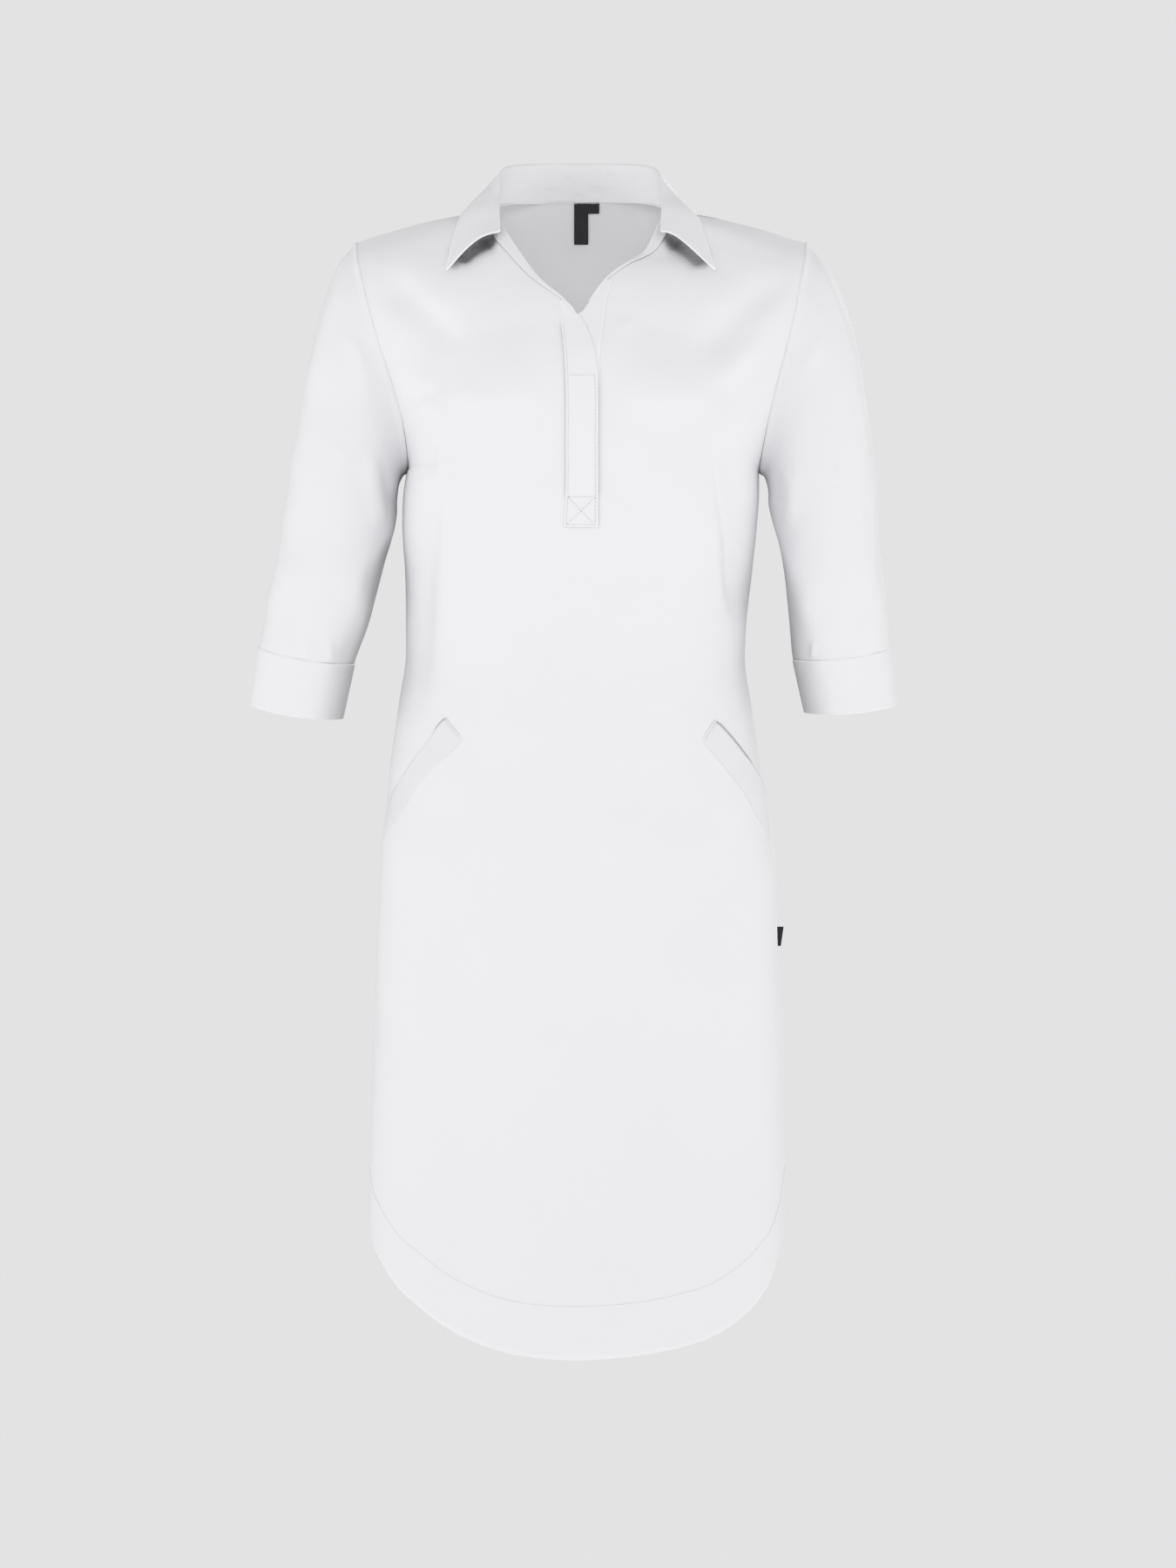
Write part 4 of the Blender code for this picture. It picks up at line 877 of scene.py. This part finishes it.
def collar_sections(rows, side):
    """Sections of the collar: up the stand, over the fold and down the leaf."""
    rows = rows.copy()
    seam, fold, edge, bulge = rows[:, 0:3], rows[:, 3:6], rows[:, 6:9], rows[:, 9:10]
    for p in (seam, fold, edge):
        p[:, 0] *= side
    up = unit(unit(fold - seam) - unit(edge - fold))
    across = edge - fold
    across = unit(across - up * dot(across, up)[:, None])
    centre = fold - up * FOLD_RADIUS
    start, end = centre - across * FOLD_RADIUS, centre + across * FOLD_RADIUS
    lift = unit(np.cross(edge - end, np.cross(up, edge - end)))
    points = [seam + (start - seam) * k for k in np.linspace(0, 1, STAND_POINTS + 1)[:-1]]
    for angle in np.linspace(0, math.pi, BEND_POINTS):
        points.append(centre + FOLD_RADIUS * (-across * math.cos(angle) + up * math.sin(angle)))
    for k in np.linspace(0, 1, LEAF_POINTS + 1)[1:]:
        points.append(end + (edge - end) * k + lift * bulge * math.sin(math.pi * k))
    return np.stack(points, 1)


def collar_half(table, side, shares):
    """Sections at these shares, with the front edge of the leaf arched back between the neck and its point."""
    across = np.array([-1, -1, 1, 1, -1, 1, 1, -1, 1, 1, 1])
    table = [*(across * table[2:0:-1]).tolist(), *table]  # runs on past the centre back, so that it is level there
    sections = collar_sections(smooth(table, shares), side)
    reach, peak = LEAF_ARCH[side]
    first = STAND_POINTS + BEND_POINTS
    for k in range(1, LEAF_POINTS):
        back = reach * math.sin(math.pi * (k / LEAF_POINTS) ** peak) * ease((shares - 0.55) / 0.45)
        sections[:, first + k - 1] = collar_sections(smooth(table, shares - back), side)[:, first + k - 1]
    return sections


def upper_surface():
    """Points and outward directions spread over the upper part of both panels."""
    v, t = (k.ravel() for k in np.meshgrid(np.linspace(1.3, 2, 71), np.linspace(0, 0.9, 41), indexing="ij"))
    points, normals = [], []
    for panel in ("front", "back"):
        for side in (-1.0, 1.0):
            points.append(panel_point(panel, np.full_like(v, side), v, t))
            normals.append(panel_normal(panel, np.full_like(v, side), v, t))
    return np.vstack(points), np.vstack(normals)


def keep_clear(points, surface, need):
    """The points, moved off the panels where they are nearer to their outer face than they have to be."""
    over, normals = surface
    gap = ((points[:, None] - over[None]) ** 2).sum(axis=2)
    nearest = np.argmin(gap, axis=1)
    height = dot(points - over[nearest], normals[nearest])
    move = np.where((height < need) & (np.sqrt(gap.min(axis=1)) < 12), need - height, 0)
    return points + normals[nearest] * move[:, None]


def build_collar():
    surface = upper_surface()
    shares = np.linspace(0, 1, COLLAR_ROWS)
    halves = []
    for side, table in ((-1, COLLAR_RIGHT), (1, COLLAR_LEFT)):
        sections = collar_half(table, side, shares)
        for section in sections:
            section[STAND_POINTS + 1:] = keep_clear(section[STAND_POINTS + 1:], surface, DOUBLE + 0.9)
        halves.append(sections)
    grid = np.concatenate([halves[0][::-1], halves[1][1:]])
    rows, columns = grid.shape[:2]
    normals = face_normals(grid.reshape(-1, 3), quads_of(rows, columns, flip=True)).reshape(grid.shape)
    x, z = grid[..., 0], grid[..., 2]
    stand = ease((STAND_POINTS - np.arange(columns)) / 5)[None, :]
    inside = (grid[..., 1] > 30) * stand
    height = inside * fold_height("stand", x, z)
    leaf = ease((np.arange(columns) - STAND_POINTS - 6) / 8)[None, :]
    height += 0.35 * (leaf + 0.6 * stand) * unevenness(1.6 * x + grid[..., 1], 1.6 * z, 8)
    grid = grid + height[..., None] * normals
    tuck = unit(grid[:, :1] - grid[:, 1:2]) * 1.3 - normals[:, :1] * 0.5
    grid = np.concatenate([grid[:, :1] + tuck, grid], axis=1)
    # More painted shade inside the front ends of the stand; the rounded edges of the collar get a painted highlight.
    ends = 0.7 * ease((np.abs(grid[..., 0]) - 38) / 26) * (np.arange(columns + 1) <= STAND_POINTS + 3)
    return grid_shell("collar", grid, DOUBLE, flip=True, painted_shade=ends, painted_highlight=1.0)


# ---- what lies on the front ----
def strip(table, rows, columns):
    """x and z over a strip of the placket, and the share of its width; the edges are smooth lines."""
    z = np.linspace(table[0][0], table[-1][0], rows)
    sewn, free = np.moveaxis(smooth(table, z), -1, 0)
    share = np.linspace(0, 1, columns)
    x = sewn[:, None] + (free - sewn)[:, None] * share
    return x, np.broadcast_to(z[:, None], x.shape), share


def build_placket():
    x, z, share = strip(PLACKET_TOP, 140, 22)
    open_top = 1 - ease((z + 96) / -22)
    lift = 2.2 - 0.9 * ease((z + 250) / -14) - 2.0 * open_top * ease((0.5 - share) / 0.5)
    top_grid, _ = lay("front", x, z, lift - 0.6 * ease((0.06 - share) / 0.06))
    # Less painted shade on the upper part of the placket, and a faint painted highlight on the edges of the top
    # layer.
    grey = -0.7 * ease((top_grid[..., 2] + 165) / 30)
    top = grid_shell("placket_top", top_grid, TWILL, flip=True, painted_shade=grey, painted_highlight=0.25)
    x, z, share = strip(PLACKET_UNDER, 120, 14)
    grid, _ = lay("front", x, z, 1.2 - 0.45 * ease((0.2 - share) / 0.2) + 0 * x)
    # The under layer gets less painted shade and a painted highlight on its edge.
    return top, grid_shell("placket_under", grid, UNDER_WALL, painted_shade=-0.8, painted_highlight=0.5), top_grid


def build_facing(side):
    table = FACING_RIGHT if side < 0 else FACING_LEFT
    share = np.linspace(table[0][0], table[-1][0], 90)
    width = smooth(table, share)[:, 0]
    s = np.full_like(share, side)
    start = panel_point("front", s, 1 + share, 0 * share)
    reach = np.linalg.norm(panel_point("front", s, 1 + share, 0 * share + 0.1) - start, axis=1) / 0.1
    across = np.linspace(0, 1, 12)
    t = (width / reach)[:, None] * across
    v = np.broadcast_to(1 + share[:, None], t.shape)
    lift = 1.05 + 0.35 * across**2 * ease(width[:, None] / 6)
    grid = panel_point("front", np.full_like(t, side), v, t, lift)
    # Less painted shade, and a painted highlight on the rounded edges.
    return grid_shell(f"facing_{SIDES[side]}", grid, TWILL, flip=side < 0, painted_shade=-0.6, painted_highlight=1.0)


WELT_PROUD = {-1: 1.6, 1: 2.4}  # how far the open upper edge of each welt stands off the front
MOUTH = 1.3  # how much of the strip painted dark as the shadow in the pocket's mouth shows past that edge
MOUTH_LIFT = 0.35  # how far the mouth lies off the front


def build_welt(side):
    """A welt, and past its open upper edge a strip down on the front, painted dark as the shadow in the pocket's
    mouth.
    """
    table = WELT_RIGHT if side < 0 else WELT_LEFT
    place = np.linspace(0, len(table) - 1, 90)
    edges = smooth([(k, *values) for k, values in enumerate(table)], place)
    share = np.linspace(0, 1, 14)
    line = edges[:, None, :2] + (edges[:, None, 2:] - edges[:, None, :2]) * share[:, None]
    near_end = ease(place[:, None] / 0.3)
    open_end = 1.0 if side > 0 else 1 - ease((place[:, None] - 0.7) / 0.8)
    near_end = near_end * open_end
    lift = WELT_PROUD[side] * (1 - share) ** 1.3 * near_end + 0.9 - 0.35 * ease((share - 0.75) / 0.25)
    lift = lift - 0.3 * (1 - near_end)
    grid, _ = lay("front", line[..., 0], line[..., 1], lift)
    # The mouth's foot lies under the raised edge as seen from the front, and under its true place round the side.
    round_side = 0.9 * ease((np.linspace(0, 1, len(place)) - 0.35) / 0.5)[:, None]
    edge = grid[:, 0, [0, 2]] * (1 - round_side) + edges[:, :2] * round_side
    out = unit(edges[:, :2] - edges[:, 2:])
    mouth = MOUTH * (open_end[:, 0] if side < 0 else 1.0)
    lifts = np.full(len(place), MOUTH_LIFT)
    near, beyond = (lay("front", *(edge + k * out).T, lifts)[0] for k in (0, 0.2))
    far = edge + out * (mouth * 0.2 / np.linalg.norm(beyond - near, axis=1))[:, None]
    foot = np.stack([lay("front", *(far * k + edge * (1 - k)).T, lifts)[0] for k in (1, 0.5, -0.2)], 1)
    rise = foot[:, -1:] + (grid[:, :1] - foot[:, -1:]) * np.array([0.5, 0.9])[:, None]
    full = np.concatenate([foot, rise, grid], axis=1)
    # The strip past the open edge is painted dark as the shadow in the pocket's mouth.
    depth = np.array([1, 1, 1, 1, 0.7] + [0] * len(share)) * 2.6
    mouth_shadow = depth * open_end * ease(place[:, None] / 0.1)
    wall = np.array([0.3, 0.3, 0.35, 0.5, 0.7] + [TWILL] * len(share))
    return grid_shell(f"pocket_welt_{SIDES[side]}", full, wall, flip=side < 0, painted_shade=mouth_shadow), grid


def build_label(name, size):
    width, drop, x0, z0 = size
    z = z0 - drop * np.linspace(0, 1, 30)[:, None]
    x = x0 + width * np.linspace(0, 1, 12)
    x, z = np.broadcast_arrays(x, z)
    bow = 0.5 * np.sin(math.pi * (z0 - z) / drop)
    grid, _ = lay("back", x, z, -CLOTH - 2 * LIFT - bow)
    return grid_shell(name, grid, RIBBON_WALL, ribbon=True)


def build_side_tab():
    z, out = np.linspace(*SIDE_TAB_Z, 24), np.linspace(*SIDE_TAB_OUT, 24)
    left = smooth(BODY_LEVELS, z)[:, 1]
    x = left[:, None] + SEAM + out[:, None] * np.linspace(0, 1, 8)
    grid = np.stack([x, 0 * x - 0.6, np.broadcast_to(z[:, None], x.shape)], -1)
    return grid_shell("side_tab", grid, TAB_WALL, ribbon=True, flip=True)


# ---- materials ----
CREVICE = 0.012  # reach, in metres, of the painted shade in seams and under edges


WAVE = 0.314  # scale of a wave texture whose bands are 1 mm apart, in cloth coordinates


def feed(tree, target, value):
    """Links a socket to the target, or sets the target's value."""
    if isinstance(value, bpy.types.NodeSocket):
        tree.links.new(value, target)
    else:
        target.default_value = value


def node(tree, kind, sockets=None, **values):
    """A shader node; values are its settings and inputs by name, sockets its inputs by number or name."""
    made = tree.nodes.new("ShaderNode" + kind)
    for key, value in values.items():
        if key in made.inputs:
            feed(tree, made.inputs[key], value)
        else:
            setattr(made, key, value)
    for key, value in (sockets or {}).items():
        feed(tree, made.inputs[key], value)
    return made


def calc(tree, operation, *numbers):
    return node(tree, "Math", dict(enumerate(numbers)), operation=operation).outputs[0]


def spread(tree, value, low, high, to_low=0.0, to_high=1.0):
    """The value brought softly from low..high to to_low..to_high."""
    ends = {"From Min": low, "From Max": high, "To Min": to_low, "To Max": to_high}
    return node(tree, "MapRange", ends, Value=value, interpolation_type="SMOOTHSTEP").outputs["Result"]


def twill(
    name, colour=(0.875, 0.870, 0.892), roughness=0.82, rib=0.62, depth=0.00012, sheen=0.08, tone=0.012,
    line=None, reach=2.2, darkest_shade=0.06,
):
    """A woven cloth: fine diagonal ribs crossed by the weft, and a very slight change of tone.

    line is how far up the cloth a row of stitching draws it in, and the cloth is painted a little darker there as
    the shade of that groove. reach is how much further the painted shade of crevices reaches where the piece is
    marked for it, and the last argument how light the cloth is where its painted shade is darkest. Rounded edges
    marked for a highlight are painted lighter.
    """
    made = bpy.data.materials.new(name)
    made.use_nodes = True
    tree = made.node_tree

    def tinted(share, most=1.0):
        return (*[min(most, c * share) for c in colour], 1)

    def mix(factor, first, second, blend="MIX"):
        sockets = {0: factor, 6: first, 7: second}
        return node(tree, "Mix", sockets, data_type="RGBA", blend_type=blend).outputs[2]

    cloth = node(tree, "UVMap", uv_map="cloth_mm").outputs[0]
    turned = node(tree, "Mapping", Vector=cloth, Rotation=(0, 0, math.radians(63))).outputs[0]
    ribs = node(tree, "TexWave", {"Detail Scale": 0.6}, Vector=turned, Scale=WAVE / rib, Distortion=0.6, Detail=1.0)
    weft = node(tree, "TexWave", Vector=cloth, Scale=WAVE / (rib * 0.7), Distortion=0.3, bands_direction="Y")
    weave = node(tree, "Mix", {0: 0.3, 2: ribs.outputs["Fac"], 3: weft.outputs["Fac"]}, data_type="FLOAT").outputs[0]
    place = node(tree, "TexCoord").outputs["Object"]
    cloudy = node(tree, "TexNoise", Vector=place, Scale=9.0, Detail=2.0).outputs["Fac"]
    woven = mix(0.06, mix(cloudy, tinted(1 - tone), tinted(1 + tone)), weave, "MULTIPLY")
    # Painted shade: the cloth is drawn a little darker along the groove that the row of stitching draws in.
    if line is not None:
        up = node(tree, "SeparateXYZ", {0: cloth}).outputs["Y"]
        off = calc(tree, "ABSOLUTE", calc(tree, "SUBTRACT", up, line))
        woven = mix(spread(tree, off, 0.25, 1.2, 0.016, 0.0), woven, (0.3, 0.3, 0.32, 1), "MULTIPLY")
    # Painted shade in crevices: the cloth colour is darkened where little of the surroundings is open, over a reach
    # that the shade mark makes longer or shorter; the highlight mark keeps rounded edges clear of it.
    painted_shade, painted_highlight = (node(tree, "Attribute", attribute_name=k).outputs["Fac"] for k in ("painted_shade", "painted_highlight"))
    near = calc(tree, "MAXIMUM", calc(tree, "MULTIPLY_ADD", painted_shade, reach * CREVICE, CREVICE), 0.4 * CREVICE)
    hollow = node(tree, "AmbientOcclusion", samples=8, Distance=near).outputs["AO"]
    clear = spread(tree, hollow, 0.10, calc(tree, "MULTIPLY_ADD", painted_shade, 0.36, 0.62))
    grey = mix(calc(tree, "MAXIMUM", clear, painted_highlight), tinted(darkest_shade), woven)
    bump = node(tree, "Bump", Height=weave, Strength=0.35, Distance=depth).outputs[0]
    # The highlight mark draws rounded edges lighter than the cloth: a painted highlight.
    for key, value in (
        ("Base Color", mix(painted_highlight, grey, tinted(1.10, 0.97))),
        ("Normal", bump),
        ("Roughness", roughness),
        ("Specular IOR Level", 0.25),
        ("Sheen Weight", sheen),
        ("Sheen Roughness", 0.5),
    ):
        feed(tree, tree.nodes["Principled BSDF"].inputs[key], value)
    return made


WHITE = twill("white_twill_cloth")
# The panels carry that painted shade along the hem stitching.
PANEL = twill("white_twill_panel", line=HEM)
# On the sleeves and cuffs the painted shade reaches much further and stays lighter at its darkest.
SLEEVE = twill("white_twill_sleeve", reach=14.0, darkest_shade=0.42)
# The welts are a darker copy of the cloth: painted shade.
WELT = twill("white_twill_welt", (0.835, 0.830, 0.852))
THREAD = twill("white_thread", (0.80, 0.795, 0.81), 0.6, 0.25, 0.00005, 0.1, 0.01)
BLACK = twill("black_ribbon_cloth", (0.016, 0.016, 0.018), 0.55, 0.5, 0.0001, 0.15, 0.10)


# ---- stitching lines ----
def hem_line(panel):
    """Points and directions of the hem stitching, HEM above the edge of the cloth."""
    share = np.linspace(0, 0.13, 60)[:, None]
    t = np.linspace(0, 0.995, 140)[None, :]
    points, normals = [], []
    for side in (-1.0, 1.0):
        drop = panel_point(panel, side + 0 * (share + t), share + 0 * t, t + 0 * share)
        run = run_of(drop, 0)
        v = np.array([np.interp(HEM, run[:, k], share[:, 0]) for k in range(t.shape[1])])
        order = slice(None, None, -1) if side < 0 else slice(1, None)
        points.append(panel_point(panel, side + 0 * v, v, t[0], 0.08)[order])
        normals.append(panel_normal(panel, side + 0 * v, v, t[0])[order])
    return np.vstack(points), np.vstack(normals)


def grid_line(grid, flip, corners, closed=False):
    """Points and directions of a run of stitching over a piece: corners are shares of its rows and columns."""
    rows, columns = grid.shape[:2]
    normals = face_normals(grid.reshape(-1, 3), quads_of(rows, columns, closed, flip)).reshape(grid.shape)
    corners = np.array(corners, float)
    run = np.linspace(0, len(corners) - 1, 90 * (len(corners) - 1) + 1)
    i = np.interp(run, np.arange(len(corners)), corners[:, 0]) * (rows - 1)
    j = np.interp(run, np.arange(len(corners)), corners[:, 1]) * (columns if closed else columns - 1)
    i0 = np.minimum(i.astype(int), rows - 2)
    j0 = j.astype(int) if closed else np.minimum(j.astype(int), columns - 2)
    di, dj = (i - i0)[:, None], (j - j0)[:, None]
    j1 = (j0 + 1) % columns
    j0 = j0 % columns
    mixed = [
        (a[i0, j0] * (1 - dj) + a[i0, j1] * dj) * (1 - di) + (a[i0 + 1, j0] * (1 - dj) + a[i0 + 1, j1] * dj) * di
        for a in (grid, normals)
    ]
    return mixed[0] + 0.08 * unit(mixed[1]), mixed[1]


# ---- build ----
made = {"front": build_panel("front"), "back": build_panel("back")}
welt_grids, cuff_grids = {}, {}
for side, word in SIDES.items():
    made[f"sleeve_{word}"], sleeve_end = build_sleeve(side)
    made[f"cuff_{word}"], cuff_grids[side] = build_cuff(side, sleeve_end)
    made[f"facing_{word}"] = build_facing(side)
    made[f"welt_{word}"], welt_grids[side] = build_welt(side)
made["collar"] = build_collar()
made["placket_top"], made["placket_under"], placket_grid = build_placket()
labels = [build_label("neck_label", NECK_LABEL), build_label("size_tab", SIZE_TAB), build_side_tab()]
CLOTH_OF = {"front": PANEL, "back": PANEL, "welt": WELT, "sleeve": SLEEVE, "cuff": SLEEVE}
for name, piece in made.items():
    piece.data.materials.append(CLOTH_OF.get(name.split("_")[0], WHITE))
for piece in labels:
    piece.data.materials.append(BLACK)


def placket_row(z):
    first, last = PLACKET_TOP[0][0], PLACKET_TOP[-1][0]
    return (z - first) / (last - first)


LEFT, RIGHT = 0.065, 0.93  # columns of the stitching along the placket's edges
WELT_BAR, CUFF_RING = 0.022, 0.055  # rows of the stitching at a welt's end on the front, and round a cuff
TOP_BAR, BOX_TOP, BOX_END = placket_row(-155.8), placket_row(-257.8), placket_row(-281.6)
PLACKET_LINES = (
    ((placket_row(-112.0), LEFT), (BOX_END, LEFT), (BOX_END, RIGHT), (TOP_BAR, RIGHT), (TOP_BAR, LEFT)),
    ((BOX_TOP, LEFT), (BOX_TOP, RIGHT)),
    ((BOX_TOP, LEFT), (BOX_END, RIGHT)),
    ((BOX_TOP, RIGHT), (BOX_END, LEFT)),
)
# The stitches carry painted shade of crevices too, more on the placket, welts and cuffs than at the hems.
thread = {
    "front": stitches("front_hem_stitches", [hem_line("front")], 0.0),
    "back": stitches("back_hem_stitches", [hem_line("back")], 0.0),
    "placket_top": stitches("placket_stitches", [grid_line(placket_grid, True, k) for k in PLACKET_LINES], 0.9),
}
for side, word in SIDES.items():
    end = [grid_line(welt_grids[side], side < 0, ((WELT_BAR, 0.04), (WELT_BAR, 0.96)))]
    thread[f"welt_{word}"] = stitches(f"welt_{word}_stitches", end, 0.5)
    ring = [grid_line(cuff_grids[side], side > 0, ((CUFF_RING, 0), (CUFF_RING, 1)), closed=True)]
    thread[f"cuff_{word}"] = stitches(f"cuff_{word}_stitches", ring, 0.2)
for piece in thread.values():
    piece.data.materials.append(THREAD)

# ---- stage ----
BACKDROP = 0.768  # linear grey of the empty studio
# Soft light from all round: its mean, and how much more comes from the front, from the sides rather than
# from before and behind, and from below.
AMBIENT, FROM_FRONT, FROM_SIDES, FROM_BELOW = 0.67, 0.35, 0.50, 0.15
FLOOR_Z, FLOOR_RADIUS = -1.30, 0.75

scene = bpy.context.scene
scene.view_settings.view_transform = "Standard"


def build_world():
    world = bpy.data.worlds.new("studio")
    scene.world = world
    world.use_nodes = True
    tree = world.node_tree
    way = node(tree, "TexCoord").outputs["Generated"]
    square = node(tree, "VectorMath", {0: way, 1: way}, operation="MULTIPLY").outputs[0]
    tilt, sides = (
        node(tree, "VectorMath", {0: k, 1: shares}, operation="DOT_PRODUCT").outputs["Value"]
        for k, shares in ((way, (0, -FROM_FRONT, -FROM_BELOW)), (square, (FROM_SIDES, -FROM_SIDES, 0)))
    )
    strength = calc(tree, "ADD", calc(tree, "ADD", tilt, sides), AMBIENT)
    soft = tree.nodes["Background"]
    soft.inputs["Color"].default_value = (1, 1, 1, 1)
    tree.links.new(calc(tree, "MAXIMUM", strength, 0.02), soft.inputs["Strength"])
    seen = node(tree, "Background", Color=(BACKDROP, BACKDROP, BACKDROP, 1), Strength=1.0)
    camera_ray = node(tree, "LightPath").outputs["Is Camera Ray"]
    either = node(tree, "MixShader", {0: camera_ray, 1: soft.outputs[0], 2: seen.outputs[0]})
    tree.links.new(either.outputs[0], tree.nodes["World Output"].inputs["Surface"])


def area_light(name, place, aim, size, power):
    lamp = bpy.data.lights.new(name, "AREA")
    lamp.shape, lamp.size, lamp.energy = "DISK", size, power
    made = bpy.data.objects.new(name, lamp)
    made.location = place
    made.rotation_euler = (Vector(aim) - Vector(place)).to_track_quat("-Z", "Y").to_euler()
    made.visible_camera = False
    scene.collection.objects.link(made)


build_world()
area_light("key", (-0.15, -3.1, 0.10), (0, 0, -0.45), 1.2, 14.2)
area_light("side_right", (-2.1, -1.5, -0.35), (0, 0, -0.42), 0.8, 5.6)
area_light("side_left", (2.1, -1.5, -0.35), (0, 0, -0.42), 0.8, 5.6)
area_light("rear", (0.85, 3.0, 0.85), (0, 0, -0.45), 0.9, 54)
area_light("inside", (-0.010, -0.055, -0.16), (-0.010, 0.07, -0.02), 0.07, 0.087)


def build_floor():
    """A pale floor under the hanging dress, which fades out into the empty studio."""
    bpy.ops.mesh.primitive_circle_add(vertices=96, radius=FLOOR_RADIUS, fill_type="NGON", location=(0, 0, FLOOR_Z))
    floor = bpy.context.object
    floor.name = "floor"
    paint = bpy.data.materials.new("pale_floor")
    paint.use_nodes = True
    tree = paint.node_tree
    shader = tree.nodes["Principled BSDF"]
    shader.inputs["Base Color"].default_value = (0.86, 0.86, 0.86, 1)
    shader.inputs["Roughness"].default_value = 0.9
    place = node(tree, "TexCoord").outputs["Object"]
    out = node(tree, "VectorMath", {0: place}, operation="LENGTH").outputs["Value"]
    tree.links.new(spread(tree, out, 0.1, FLOOR_RADIUS, 0.35, 0.0), shader.inputs["Alpha"])
    floor.data.materials.append(paint)


build_floor()

# The camera looks level along +Y; the picture is VIEW_SIZE metres on its longer side at the dress.
CAMERA_AWAY, VIEW_SIZE, SENSOR = 3.5, 1.368, 36
cam = bpy.data.cameras.new("camera")
camera = bpy.data.objects.new("camera", cam)
camera.location = (0.0076, -CAMERA_AWAY, -0.4119)
camera.rotation_euler = (math.pi / 2, 0, 0)
cam.sensor_width = SENSOR
cam.lens = SENSOR * CAMERA_AWAY / VIEW_SIZE
cam.shift_y = -0.0667
scene.collection.objects.link(camera)
scene.camera = camera
